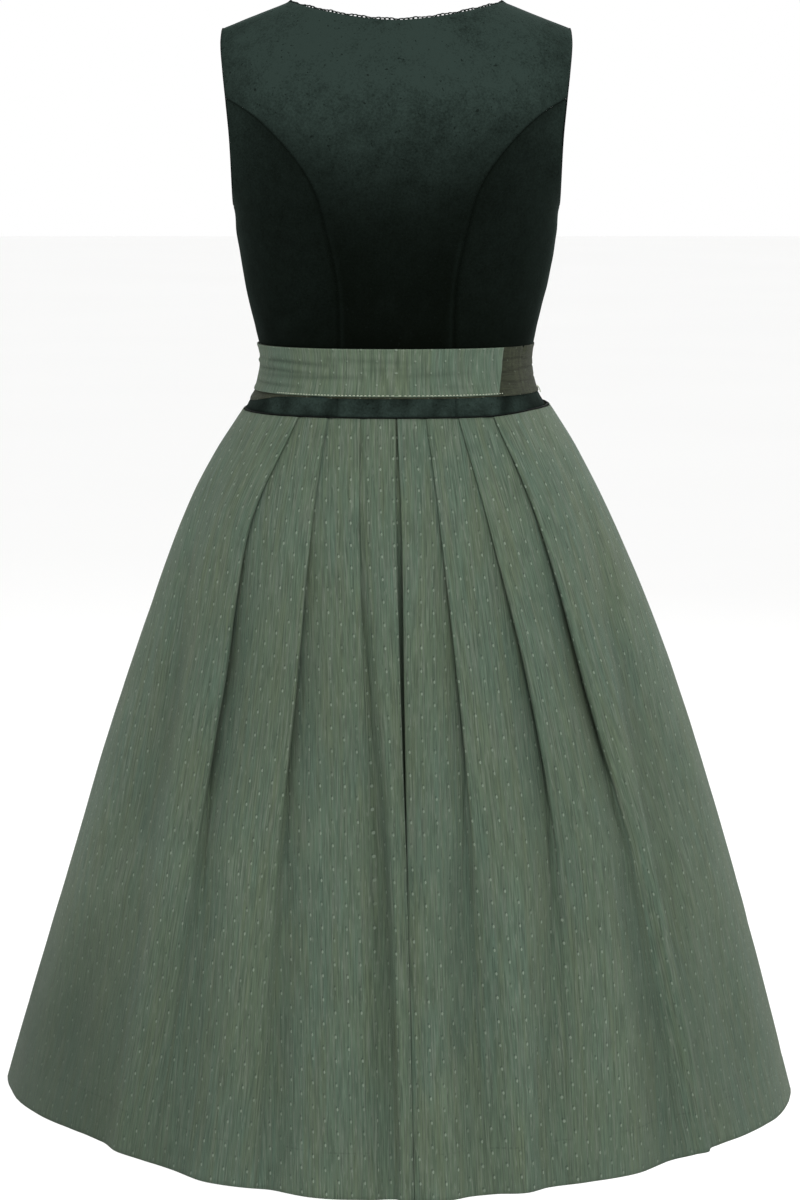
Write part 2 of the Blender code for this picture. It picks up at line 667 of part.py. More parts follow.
def main():
    for obj in list(bpy.data.objects):
        bpy.data.objects.remove(obj, do_unlink=True)
    for face, side, name in ((BACK, LEFT, "bodice_side_back_left"), (BACK, RIGHT, "bodice_side_back_right"),
                             (FRONT, LEFT, "bodice_side_front_left"), (FRONT, RIGHT, "bodice_side_front_right")):
        side_panel(name, face, side, colour(name, VELVET_GREEN, 0.8))
    back_panel(colour("bodice_back", VELVET_GREEN, 0.8))
    front_panel("bodice_front_left", LEFT, colour("bodice_front_left", VELVET_GREEN, 0.8))
    front_panel("bodice_front_right", RIGHT, colour("bodice_front_right", VELVET_GREEN, 0.8))
    neck_trim(colour("neck_trim", TRIM_GREEN, 0.9))
    armhole_piping("armhole_piping_left", LEFT, colour("armhole_piping_left", PIPING_BLACK, 0.7))
    armhole_piping("armhole_piping_right", RIGHT, colour("armhole_piping_right", PIPING_BLACK, 0.7))
    waist_piping(colour("waist_piping", PIPING_BLACK, 0.7))
    belt_under(colour("belt_under", BELT_BROWN, 0.75))
    belt_over(colour("belt_over", SKIRT_GREEN, 0.75))
    skirt_half("skirt_back", BACK, colour("skirt_back", SKIRT_GREEN, 0.75))
    skirt_half("skirt_front", FRONT, colour("skirt_front", SKIRT_GREEN, 0.75))


main()
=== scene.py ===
"""Looks of a sleeveless dirndl dress: velvet bodice, wrapped belt, pleated skirt of slubbed, dotted cloth.

Metres, +Z up, with the wearer's back at +Y and the wearer's left at +X. Each piece of cloth is a fine grid
moved on to the form of the bodice or on to the pleated skirt, with its own flat measures as its UV map.
"""
from bisect import bisect_right
from collections import namedtuple
from functools import lru_cache
from math import asin, copysign, cos, dist, exp, hypot, pi, radians, sin, sqrt, tau

import bmesh
import bpy
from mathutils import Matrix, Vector, noise


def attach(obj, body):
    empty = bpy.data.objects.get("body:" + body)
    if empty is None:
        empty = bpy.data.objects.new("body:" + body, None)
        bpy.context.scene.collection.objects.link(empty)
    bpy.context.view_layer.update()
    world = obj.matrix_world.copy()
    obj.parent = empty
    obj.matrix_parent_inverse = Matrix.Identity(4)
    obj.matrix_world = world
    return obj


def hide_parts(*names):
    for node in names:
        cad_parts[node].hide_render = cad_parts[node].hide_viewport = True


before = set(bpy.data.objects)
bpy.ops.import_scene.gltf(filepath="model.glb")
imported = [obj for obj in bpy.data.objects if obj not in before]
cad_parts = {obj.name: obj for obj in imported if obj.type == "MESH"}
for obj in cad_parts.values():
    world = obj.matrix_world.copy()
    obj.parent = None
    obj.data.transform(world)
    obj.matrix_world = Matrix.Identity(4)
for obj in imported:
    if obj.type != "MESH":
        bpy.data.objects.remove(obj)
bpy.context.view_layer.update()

MM = 0.001
BACK, FRONT = 1, -1        # sign of Y
LEFT, RIGHT = 1, -1        # sign of X

# Cloth and seams
VELVET = 0.0015
SKIRTING = 0.0008
BELTING = 0.0007
PIPING_RADIUS, PIPING_SUNK = 0.0007, 0.0005
SEAM_GAP = 0.0003

# Heights above the natural waist, and the lines of the bodice
SHOULDER_NECK = 0.3125
UNDERARM = 0.128
WAIST_SEAM = -0.055
HEM = -0.699
NECK_HALF = 0.098
BACK_NECK, BACK_NECK_CURVE = 0.2945, 1.7
FRONT_NECK, FRONT_NECK_CURVE = 0.168, 3.2
SHOULDER_HALF = 0.1575
SHOULDER_FALL = 0.39
NECK_BLEND = 0.010
SHOULDER_ROLL = 0.110
PRINCESS_AT_WAIST, SIDE_AT_WAIST = 0.053, 0.139
SEAM_LIFT = 0.004
LIFT_FROM, LIFT_FULL = 0.080, 0.137
LIFT_ENDS = -0.145
CLOSES_FROM = 0.105
CUP_RISE, CUP_SPREAD = 0.015, 0.042
CUP_FROM_CENTRE, CUP_HEIGHT = 0.082, 0.098
SHOULDER_TIP = SHOULDER_NECK - SHOULDER_FALL * (hypot(SHOULDER_HALF, NECK_BLEND)
                                               - hypot(NECK_HALF, NECK_BLEND))
SKIRT_TOP = WAIST_SEAM - PIPING_RADIUS - SEAM_GAP

# Belt
BELT_TOP, BELT_BOTTOM = 0.0045, -0.038
BELT_SHOWS, BELT_SAG = 0.0010, 0.008    # of the under layer below the upper one, and more where it sags
SAG_TURNS = (0.75, 1.45, 1.90, 3.00)    # turns round the body where the sag starts, is full, goes and ends
BELT_JOIN, BELT_JOIN_GAP = 0.15, 0.0008
BELT_END_TOP, BELT_END_BOTTOM = -0.0957, -0.0910
BELT_OVER_STOP = 1.70
BELT_EASE = 0.0003
BELT_OVER_OUT = BELT_EASE + SEAM_GAP + 2 * BELTING    # how far out the upper layer's face lies
BELT_MIDDLE = -0.017
WAIST_REACH = 0.113        # length along the belt for each radian of turn
UNDER_BELT = 0.0028        # how far the bodice is pressed in where the belt covers it

# Pleats
FOLD_NOSE = 0.0010
PLEAT_OPENS = 0.010
FOLD_LEAST = 0.006
PANEL_SINKS = 0.55
FOLDS_FLAT, FLAT_FROM, FLAT_FULL = 0.62, -0.24, -0.10    # pressed flatter near the waist
SIDE_SPOTS = (0.4, 0.7)
RING_STEPS = 160

Ring = namedtuple("Ring", "height half_width back front power")
Edge = namedtuple("Edge", "height from_centre")
Crease = namedtuple("Crease", "x0 z0 x1 z1 width depth")


def rings(rows):
    """Rings from rows of millimetres, each ending in the power of its outline, 2 for an ellipse."""
    return [Ring(*(MM * size for size in sizes), power) for *sizes, power in rows]


def in_metres(kind, rows):
    """Named rows from rows of plain millimetres."""
    return [kind(*(MM * value for value in row)) for row in rows]


# The rings of the bodice's form and of the skirt
FORM = rings([
    (-60, 142, 120, 108, 2.3), (-35, 128, 107, 102, 2.3), (-10, 123.8, 97, 99, 2.3),
    (15, 128, 94.5, 101, 2.3), (60, 138.5, 98, 109, 2.3), (105, 146, 106, 118, 2.3),
    (128, 148.5, 109, 119, 2.3), (155, 162, 112, 114, 2.3), (190, 174.5, 113, 102, 2.3),
    (240, 180, 108, 84, 2.3), (320, 182, 90, 62, 2.3),
])
SKIRT = rings([
    (-705, 371, 356, 342, 1.72), (-600, 342, 319, 308, 1.82), (-480, 308, 281, 271, 1.92),
    (-350, 269, 239, 231, 2.02), (-220, 223, 193, 187, 2.12), (-140, 190, 162, 156, 2.18),
    (-95, 166, 139, 132, 2.24), (-68, 148.5, 125.5, 114.5, 2.3), (-55, 139.8, 118.2, 106.6, 2.3),
])

# How far from the centre line the edges of the bodice's panels lie
BACK_PRINCESS = in_metres(Edge, [
    (-60, 53), (8, 51.8), (60, 53.5), (110, 63), (145, 73), (173, 90), (198, 112.5), (216, 134.5),
    (230, 160),
])
BACK_ARMHOLE = in_metres(Edge, [
    (128, 148.5), (150, 148), (189, 149), (225, 152.5), (250, 155.5), (275, 158), (290, 157.5),
])
FRONT_PRINCESS = in_metres(Edge, [
    (-60, 50), (8, 50), (55, 64), (98, 80), (135, 90), (165, 108), (185, 129), (196, 148),
])
FRONT_ARMHOLE = in_metres(Edge, [
    (128, 148.5), (150, 143), (175, 137.5), (200, 136.5), (230, 140), (260, 150), (290, 157.5),
])

# A row for each fold, in millimetres at five levels: x is where the fold's edge lies, lap how far the cloth
# turns back under it (below nought, how far it has opened) and deep how far the under layer lies inside.
LEVELS = (-0.055, -0.150, -0.300, -0.450, -0.700)
Pleat = namedtuple("Pleat", "place x lap deep")
FOLDS = {
    (BACK, LEFT): [
        ("centre", (1, 0.2, -4, -9.6, -15.4), (27, 26, 18, 14, 11), (3.6, 4.8, 10, 8, 5)),
        ("plain", (32.5, 33, 28.5, 26.2, 20.5), (22, 13, -5, -12, -16), (4, 5.5, 6.5, 6, 4)),
        ("plain", (62, 75.5, 91.5, 109, 132), (24, 25, 14, -10, -24), (4, 5.5, 8, 7, 3)),
        ("plain", (88, 131.5, 160, 184, 225), (38, 36, 20, -9, -28), (4, 6.5, 10, 7, 3)),
        ("side", (128, 186, 221, 249, 292), (-10, -14, -20, -26, -34), (1, 4, 6, 4, 2)),
    ],
    (BACK, RIGHT): [
        ("centre", (-0.8, -5, -7.4, -10.3, -16), (22, 24, 16, 13, 11), (3.6, 4.8, 10, 8, 5)),
        ("plain", (-27, -39.3, -56, -69, -85), (22, 22, 10, -10, -18), (4, 5.5, 8, 6, 3)),
        ("plain", (-55.6, -83, -117.6, -140, -158), (25, 26, 16, -6, -26), (4, 6, 10, 7, 3)),
        ("plain", (-87.2, -128, -168, -210, -262), (38, 36, 15, -10, -28), (4, 8, 11, 6, 3)),
        ("side", (-128, -181, -217, -251, -304), (-10, -14, -20, -26, -30), (1, 4, 6, 5, 2)),
    ],
    (FRONT, LEFT): [
        ("plain", (26, 36, 47, 58, 78), (24, 24, 10, -10, -18), (4, 5.5, 8, 6, 3.5)),
        ("plain", (57, 80, 108, 132, 164), (25, 26, 15, -8, -24), (4, 6, 9, 7, 3)),
        ("plain", (88, 128, 166, 200, 252), (36, 34, 18, -10, -28), (4, 7, 10, 6, 3)),
    ],
    (FRONT, RIGHT): [
        ("plain", (-27.5, -34, -42, -55, -72), (24, 22, 8, -10, -18), (4, 5.5, 7.5, 6, 3.5)),
        ("plain", (-58.5, -82, -112, -128, -152), (25, 26, 16, -8, -24), (4, 6, 9.5, 7, 3)),
        ("plain", (-89, -131, -171, -207, -258), (36, 34, 16, -12, -28), (4, 7, 10, 6, 3)),
    ],
}
PLEATS = {half: [Pleat(*row) for row in rows] for half, rows in FOLDS.items()}
CROWN = (0.0, 0.0010, 0.0045, 0.0050, 0.0035)
Valley = namedtuple("Valley", "along sunk")
VALLEY = [Valley(*row) for row in (
    (-1.35, 0.8), (-1, 1), (-0.72, 0.9), (-0.5, 0.68), (-0.3, 0.42), (-0.12, 0.2), (0.08, 0),
)]

# Soft creases on a piece, from one place to another on it: depth is below nought for a ridge
BACK_CREASES = in_metres(Crease, [
    (30, 22, 128, 10, 3.5, 0.7), (-20, 18, -118, 12, 3, 0.6), (60, 38, 130, 24, 5, 0.8),
    (-64, 36, -126, 28, 4.5, 0.6), (78, 240, 135, 205, 9, 1.1), (-74, 244, -132, 212, 8.5, 0.9),
    (-30, 100, 12, 160, 12, 0.8), (85, -43, 112, -53, 2.2, 0.9), (98, -41, 126, -52, 2.4, 1),
    (58, -46, 80, -53, 2.4, 0.6), (-90, -45, -116, -52, 2.2, 0.6),
])
FRONT_CREASES = in_metres(Crease, [
    (40, 20, 125, 12, 3.5, 0.6), (-32, 24, -122, 14, 3.5, 0.7), (100, 124, 142, 112, 6, 1),
    (-98, 128, -142, 114, 6.5, 0.9), (118, 215, 142, 180, 6, 0.8), (-116, 220, -140, 182, 6.5, 0.9),
])
SKIRT_BACK_CREASES = in_metres(Crease, [
    (150, -160, 196, -300, 12, 3), (205, -290, 262, -470, 16, 3.4), (-150, -150, -190, -270, 11, 2.6),
    (-206, -270, -262, -440, 17, 3.6), (6, -330, 16, -700, 13, 5.2), (62, -380, 74, -680, 13, 3.6),
    (-52, -420, -60, -690, 14, 3.4), (-70, -440, -90, -760, 12, 4.4), (-112, -460, -130, -680, 12, 3),
    (150, -440, 178, -700, 15, 4.4), (100, -500, 112, -720, 11, 3), (262, -480, 318, -690, 20, 6),
    (-204, -440, -244, -720, 17, 5), (-280, -500, -322, -700, 17, 5.4), (112, -140, 128, -230, 6, 1),
    (-110, -150, -132, -240, 6, 1),
])
SKIRT_FRONT_CREASES = in_metres(Crease, [
    (12, -240, 18, -560, 16, 2.4), (-14, -320, -24, -620, 18, 2.6), (86, -400, 104, -640, 15, 2.2),
    (-84, -380, -96, -600, 16, 2), (172, -180, 218, -330, 13, 3), (-168, -170, -214, -310, 13, 3),
    (216, -360, 262, -560, 17, 2.8), (-220, -380, -268, -600, 18, 3), (268, -300, 318, -520, 16, 3),
    (-262, -280, -310, -480, 16, 3),
])


# Curves and rings

def smooth_between(knots, values, place):
    """The value at a place, on a smooth curve through the knots that stays level beyond them."""
    if place <= knots[0]:
        return values[0]
    if place >= knots[-1]:
        return values[-1]
    index = bisect_right(knots, place) - 1
    span = knots[index + 1] - knots[index]

    def rise(k):
        low, high = max(k - 1, 0), min(k + 1, len(knots) - 1)
        return span * (values[high] - values[low]) / (knots[high] - knots[low])

    t = (place - knots[index]) / span
    start, end = values[index], values[index + 1]
    return (start * (2 * t ** 3 - 3 * t ** 2 + 1) + rise(index) * (t ** 3 - 2 * t ** 2 + t)
            + end * (3 * t ** 2 - 2 * t ** 3) + rise(index + 1) * (t ** 3 - t ** 2))


def mix(a, b, share):
    return a + (b - a) * share


def ramp(low, high, value):
    """0 below low, 1 above high and a smooth step between them."""
    share = min(max((value - low) / (high - low), 0.0), 1.0)
    return share * share * (3 - 2 * share)


def hump(distance, width):
    """1 at no distance, falling smoothly to nothing over a width."""
    return exp(-(distance / width) ** 2)


def steps(low, high, count):
    return [mix(low, high, k / count) for k in range(count + 1)]


def ring_at(rings, height):
    """The ring at a height, between those of a table."""
    heights, *columns = zip(*rings)
    return Ring(height, *(smooth_between(heights, column, height) for column in columns))


@lru_cache(maxsize=None)
def form_ring(height):
    return ring_at(FORM, height)


@lru_cache(maxsize=None)
def princess(face, height):
    heights, reaches = zip(*(BACK_PRINCESS if face == BACK else FRONT_PRINCESS))
    return smooth_between(heights, reaches, height)


@lru_cache(maxsize=None)
def armhole(face, height):
    heights, reaches = zip(*(BACK_ARMHOLE if face == BACK else FRONT_ARMHOLE))
    return smooth_between(heights, reaches, height)


@lru_cache(maxsize=None)
def meeting_height(face):
    """Where the princess seam runs out into the armhole."""
    height = UNDERARM
    while armhole(face, height) > princess(face, height):
        height += 0.0002
    return height


def shoulder_height(x):
    """Height of the shoulder seam's line at x, carried on smoothly across the neck."""
    return SHOULDER_NECK - SHOULDER_FALL * (hypot(x, NECK_BLEND) - hypot(NECK_HALF, NECK_BLEND))


def form_angle(height, x):
    ring = form_ring(height)
    return asin(min(abs(x) / ring.half_width, 1.0) ** (ring.power / 2))


def on_form(face, side, height, angle):
    """The point of the bodice's outer face at a turn from the centre line."""
    ring = form_ring(height)
    x = ring.half_width * sin(angle) ** (2 / ring.power)
    depth = ring.back if face == BACK else ring.front
    depth *= max(cos(angle), 0.0) ** (2 / ring.power)
    fall = min(max((shoulder_height(x) - height) / SHOULDER_ROLL, 0.0), 1.0)
    depth *= sqrt(1 - (1 - fall) ** 2)
    if face == FRONT:
        across = (x - CUP_FROM_CENTRE) / CUP_SPREAD
        up = (height - CUP_HEIGHT) / CUP_SPREAD
        depth += CUP_RISE * exp(-across * across - up * up) * cos(angle)
    return Vector((side * x, face * depth, height))


def outward(face, side, height, angle):
    """The direction in which the bodice's outer face looks."""
    step = 2e-4
    before, after = max(angle - step, 0.0), min(angle + step, pi / 2)
    along = on_form(face, side, height, after) - on_form(face, side, height, before)
    up = on_form(face, side, height + step, angle) - on_form(face, side, height - step, angle)
    return along.cross(up).normalized() * -face * side


def spot_on_form(face, side, height, angle):
    """A point of the outer face with the direction in which it looks."""
    return on_form(face, side, height, angle), outward(face, side, height, angle)


def seam_lift(x):
    """How far the waist seam rises, which it does only at the wearer's right side."""
    return SEAM_LIFT * ramp(LIFT_FROM, LIFT_FULL, -x)


def panel_bottom(x):
    return WAIST_SEAM + PIPING_RADIUS + seam_lift(x)


def neck_height(face, x):
    if x >= NECK_HALF:
        return shoulder_height(x)
    low, power = (BACK_NECK, BACK_NECK_CURVE) if face == BACK else (FRONT_NECK, FRONT_NECK_CURVE)
    return mix(low, SHOULDER_NECK, (x / NECK_HALF) ** power)


def sunk_by(creases, x, z):
    """How far a table of creases sinks the cloth at a place, each fading out towards its ends."""
    total = 0.0
    for crease in creases:
        dx, dz = crease.x1 - crease.x0, crease.z1 - crease.z0
        share = ((x - crease.x0) * dx + (z - crease.z0) * dz) / (dx * dx + dz * dz)
        if not 0 < share < 1:
            continue
        away = abs((x - crease.x0) * dz - (z - crease.z0) * dx) / hypot(dx, dz)
        if away < 3 * crease.width:
            total += crease.depth * hump(away, crease.width) * sin(pi * share) ** 0.7
    return total


def unevenness(place, size, seed):
    """A soft random value from -1 to 1 that changes over a given size."""
    return noise.noise(Vector(place) / size + Vector((seed, 2.7 * seed, 1.3 * seed)))


# Makers of pieces

def added(name, data):
    obj = bpy.data.objects.new(name, data)
    bpy.context.scene.collection.objects.link(obj)
    return obj


def mesh_of(name, bm):
    mesh = bpy.data.meshes.new(name)
    bm.to_mesh(mesh)
    bm.free()
    return mesh


def finished(name, mesh, finish, nodes):
    """Puts a mesh or a curve in the scene as a piece that stands for some CAD nodes."""
    obj = added(name, mesh)
    mesh.materials.append(finish)
    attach(obj, "root")
    if nodes:
        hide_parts(*nodes)
    return obj


def cloth(name, across, up, place, wall, finish, cut, outside=0.0):
    """A sheet of cloth: a grid of stations moved to its place, with its flat measures as its UV map.

    place takes a station across and one up, and gives the point of the cloth, the two measures along it and
    the painted light and shade that the finish reads there. The wall sits inside those points where outside
    is 0, and half outside them where it is 1. cut is the width and length that the piece was cut to.
    """
    bm = bmesh.new()
    columns, rows = len(across) - 1, len(up) - 1
    bmesh.ops.create_grid(bm, x_segments=columns, y_segments=rows, size=0.5)
    tone = bm.verts.layers.float.new("tone")
    flat = {}
    for vert in bm.verts:
        column = round((vert.co.x + 0.5) * columns)
        row = round((vert.co.y + 0.5) * rows)
        vert.co, flat[vert], vert[tone] = place(across[column], up[row])
    layer = bm.loops.layers.uv.new("cloth")
    bm.normal_update()
    facing = 0.0
    for face in bm.faces:
        face.smooth = True
        middle = face.calc_center_median()
        facing += face.normal.dot(Vector((middle.x, middle.y, 0.0))) * face.calc_area()
        for loop in face.loops:
            loop[layer].uv = flat[loop.vert]
    if facing < 0:
        bmesh.ops.reverse_faces(bm, faces=bm.faces[:])
    area = sum(face.calc_area() for face in bm.faces)
    obj = finished(name, mesh_of(name, bm), finish, [name])
    shell = obj.modifiers.new("wall", "SOLIDIFY")
    shell.thickness = wall
    shell.offset = -1.0 + outside
    oblong = cut[0] * cut[1]
    share = min(max(area / oblong, 0.31), 1.0)
    share * oblong


def tube(name, runs, radius, finish, nodes, closed=False, sides=2):
    """Round cords through runs of points, as one piece."""
    curve = bpy.data.curves.new(name, "CURVE")
    curve.dimensions = "3D"
    curve.bevel_depth = radius
    curve.bevel_resolution = sides
    curve.use_fill_caps = not closed
    for points in runs:
        line = curve.splines.new("POLY")
        line.points.add(len(points) - 1)
        for point, place in zip(line.points, points):
            point.co = (*place, 1.0)
        line.use_cyclic_u = closed
        line.use_smooth = True
    finished(name, curve, finish, nodes)


# Finishes

def adds_math(operation):
    """A method of Value that adds a Math node."""
    def method(value, *others):
        return value.finish.node("Math", dict(enumerate((value, *others))), operation=operation)
    return method


class Value:
    """A number that varies over a surface. Arithmetic on it adds Math nodes."""

    def __init__(self, finish, socket):
        self.finish = finish
        self.socket = socket

    __add__ = __radd__ = adds_math("ADD")
    __sub__ = adds_math("SUBTRACT")
    __mul__ = adds_math("MULTIPLY")
    __truediv__ = adds_math("DIVIDE")
    fraction = adds_math("FRACT")
    size = adds_math("ABSOLUTE")
    wave = adds_math("SINE")

    def __rsub__(self, other):
        return self.finish.node("Math", {0: other, 1: self}, operation="SUBTRACT")

    def between(self, low, high):
        """0 below low, 1 above high and a smooth step between them; high may be the lower one."""
        values = {"Value": self, "From Min": low, "From Max": high}
        return self.finish.node("MapRange", values, interpolation_type="SMOOTHSTEP")


class Finish:
    """A material whose nodes are added by expressions."""

    def __init__(self, name, roughness, sheen=0.0, sheen_roughness=0.5, sheen_tint=(1, 1, 1), specular=0.5):
        self.material = bpy.data.materials.new(name)
        self.material.use_nodes = True
        self.tree = self.material.node_tree
        self.shader = self.tree.nodes["Principled BSDF"]
        looks = {"Roughness": roughness, "Sheen Weight": sheen, "Sheen Roughness": sheen_roughness,
                 "Sheen Tint": (*sheen_tint, 1.0), "Specular IOR Level": specular}
        for name, value in looks.items():
            self.shader.inputs[name].default_value = value

    def node(self, kind, values, output=0, **settings):
        made = self.tree.nodes.new("ShaderNode" + kind)
        for name, value in settings.items():
            setattr(made, name, value)
        for name, value in values.items():
            if isinstance(value, Value):
                self.tree.links.new(value.socket, made.inputs[name])
            else:
                made.inputs[name].default_value = value
        return Value(self, made.outputs[output])

    def place(self):
        """Where a point is in the dress, in metres."""
        return self.node("TexCoord", {}, output="Object")

    def tone(self):
        """The painted light and shade given to each place of the piece."""
        return self.node("Attribute", {}, output=2, attribute_name="tone")

    def on_cloth(self):
        """The two measures along the cloth, in metres."""
        across = self.node("SeparateXYZ", {"Vector": self.node("UVMap", {}, uv_map="cloth")})
        return across, Value(self, across.socket.node.outputs[1])

    def vector(self, x, y, z=0.0):
        return self.node("CombineXYZ", {"X": x, "Y": y, "Z": z})

    def flat_mottle(self, across, along):
        """Soft random spots on the flat cloth, about as large as a step of 1 in the two values."""
        return self.mottle(self.vector(across, along), 1.0)

    def mottle(self, vector, scale, detail=2.0, roughness=0.5):
        """Soft random spots, from 0 to 1."""
        values = {"Vector": vector, "Scale": scale, "Detail": detail, "Roughness": roughness}
        return self.node("TexNoise", values)

    def blend(self, share, first, second):
        """A colour between two colours."""
        first, second = (c if isinstance(c, Value) else (*c, 1.0) for c in (first, second))
        return self.node("Mix", {0: share, 6: first, 7: second}, output=2, data_type="RGBA")

    def looks(self, colour, roughness, height, distance):
        """Joins up the surface; the fine relief has a real height, in metres where height is 1."""
        bump = self.node("Bump", {"Height": height, "Distance": distance, "Strength": 1.0})
        for name, value in (("Base Color", colour), ("Roughness", roughness), ("Normal", bump)):
            self.tree.links.new(value.socket, self.shader.inputs[name])
        return self.material


# The velvet in painted shade, in painted light, and its dark flecks
VELVET_PAINTED_SHADE = (0.0016, 0.0024, 0.0015)
VELVET_LIT = (0.0236, 0.0372, 0.0318)
VELVET_MARK = (0.0040, 0.0058, 0.0046)
CLOTH_GREEN = (0.126, 0.174, 0.114)
CLOTH_TEAL = (0.110, 0.170, 0.126)
CLOTH_GREY = (0.180, 0.210, 0.166)
CLOTH_OLIVE = (0.135, 0.166, 0.098)
# Dark threads of the weave; also the painted shade in the skirt's hollows and the belt's creases
CLOTH_DARK_THREADS_AND_SHADE = (0.036, 0.054, 0.036)
# Pale woven dots; also the faint painted highlight on the belt's turned edges
PALE_DOT_AND_HIGHLIGHT = (0.250, 0.310, 0.240)
DOT_DARK = (0.026, 0.040, 0.028)
BROWN_GREY = (0.034, 0.0400, 0.0232)
BROWN_LIGHT = (0.048, 0.0535, 0.0320)
# The under layer's colour in painted shade, for its folds
BROWN_PAINTED_SHADE = (0.0152, 0.0172, 0.0102)
CORD_BLACK = (0.0024, 0.0032, 0.0028)
CORD_GREY = (0.0070, 0.0090, 0.0080)
TRIM_DEEP = (0.0040, 0.0070, 0.0058)
TRIM_PALE = (0.0160, 0.0250, 0.0210)
STITCH_CREAM = (0.560, 0.600, 0.470)
STITCH_SHADE = (0.320, 0.360, 0.280)


def velvet():
    """Short green pile, finely mottled, with painted light: lighter high on the back where light from above
    falls, nearly black just above the waist.
    """
    finish = Finish("velvet", 0.85, sheen=0.03, sheen_roughness=0.38, sheen_tint=(0.52, 0.80, 0.70),
                    specular=0.01)
    place = finish.place()
    cloud = finish.mottle(place, 24.0, 3.0, 0.6)
    smudge = finish.mottle(place, 95.0, 3.0, 0.65)
    pile = finish.mottle(place, 480.0, 4.0, 0.75)
    # Painted light blends the velvet from its shaded to its lit colour, broken up by random mottle
    shade = finish.tone() * (cloud + smudge * 0.7 + pile * 1.9 - 0.80) + (pile - 0.5) * 0.06
    painted_light_colour = finish.blend(shade, VELVET_PAINTED_SHADE, VELVET_LIT)
    fleck = finish.mottle(place, 260.0, 2.0, 0.6).between(0.66, 0.72)
    colour = finish.blend(fleck * 0.7, painted_light_colour, VELVET_MARK)
    return finish.looks(colour, 0.78 + cloud * 0.14, pile * 0.6 + smudge * 0.8, 0.0004)


def streaks(finish, across, along, pitch, length, seed):
    """Slubs: random stripes that run down the cloth, of a mean width and length, from 0 to 1."""
    place = finish.vector(across / pitch + seed, along / length + seed)
    return finish.mottle(place, 1.0, 2.0, 0.55)


def woven(finish, across, along):
    """The colour and relief of the slubbed cloth: green, with teal, grey and olive threads running down."""
    broad = finish.mottle(finish.vector(across, along * 0.5), 14.0, 2.0)
    teal = streaks(finish, across, along, 0.0060, 0.120, 3.1)
    grey = streaks(finish, across, along, 0.0021, 0.070, 17.3)
    olive = streaks(finish, across, along, 0.0090, 0.160, 41.7)
    fine = streaks(finish, across, along, 0.0012, 0.044, 7.9)
    hair = streaks(finish, across, along, 0.0008, 0.026, 29.5)
    base = finish.blend(broad.between(0.38, 0.60) * 0.65 + teal.between(0.46, 0.62) * 0.25,
                        CLOTH_GREEN, CLOTH_TEAL)
    base = finish.blend(olive.between(0.48, 0.64) * 0.50, base, CLOTH_OLIVE)
    base = finish.blend(grey.between(0.48, 0.62) * 0.52, base, CLOTH_GREY)
    thread = fine.between(0.38, 0.58)
    base = finish.blend((1 - thread) * 0.32 + hair.between(0.58, 0.42) * 0.27 + 0.11, base, CLOTH_DARK_THREADS_AND_SHADE)
    slub = streaks(finish, across, along, 0.0014, 0.016, 63.1).between(0.60, 0.68)
    base = finish.blend(slub * 0.35, base, tuple(channel * 1.25 for channel in CLOTH_GREY))
    return base, thread * 0.6 + slub * 0.8 + grey * 0.4


THREAD_PITCH = 0.00042
SKIRT_DOTS = (0.0224, 0.0204, 0.00088, 0.00155)    # pitch across and down, half width and half height
BELT_DOTS = (0.0230, 0.0210, 0.0007, 0.0010)


def weave_relief(across, along):
    """A plain weave's crossing threads."""
    return (across * (tau / THREAD_PITCH)).wave() * (along * (tau / THREAD_PITCH)).wave()


def dots(finish, across, along, pitch, drop, width, height):
    """Small woven dots on a staggered lattice, some fainter, and the dark speck at the foot of each."""
    pale, dark = 0.0, 0.0
    faint = finish.flat_mottle(across / pitch * 1.9, along / drop * 1.9).between(0.30, 0.62)
    for half in (0.0, 0.5):
        x = ((across / pitch + half).fraction() - 0.5) * pitch
        z = ((along / drop + half).fraction() - 0.5) * drop
        dot = ((x / width) * (x / width) + (z / height) * (z / height)).between(1.3, 0.4)
        off_x, off_z = x - width * 0.9, z + height * 1.1
        speck = ((off_x / width) * (off_x / width) + (off_z / height) * (off_z / height)).between(1.0, 0.4)
        pale = dot + pale
        dark = speck + dark
    return pale * (0.35 + faint * 0.65), dark


def skirt_cloth():
    finish = Finish("skirt_cloth", 0.72, sheen=0.02, sheen_roughness=0.5, specular=0.14)
    across, along = finish.on_cloth()
    base, relief = woven(finish, across, along)
    wobble = finish.flat_mottle(across * 30.0, along * 30.0)
    pale, dark = dots(finish, across + wobble * 0.0016, along + wobble * 0.0012, *SKIRT_DOTS)
    base = finish.blend(pale * 0.80, finish.blend(dark * 0.45, base, DOT_DARK), PALE_DOT_AND_HIGHLIGHT)
    from_hem = (along - HEM_STITCH).size()
    dash = ((across / 0.0052).fraction() - 0.5).size().between(0.40, 0.20)
    ragged = finish.flat_mottle(across * 26.0, along * 2.0).between(0.42, 0.60)
    line = from_hem.between(0.0011, 0.0003) * ragged
    base = finish.blend(line * (0.04 + dash * 0.22), base, DOT_DARK)
    raised = relief * 0.6 + weave_relief(across, along) * 0.25 + pale * 1.2 - line * dash
    # Painted shade in hollows, low at the wearer's left and towards the sides
    colour = finish.blend(finish.tone(), base, CLOTH_DARK_THREADS_AND_SHADE)
    return finish.looks(colour, 0.64 + relief * 0.12, raised, 0.00030)


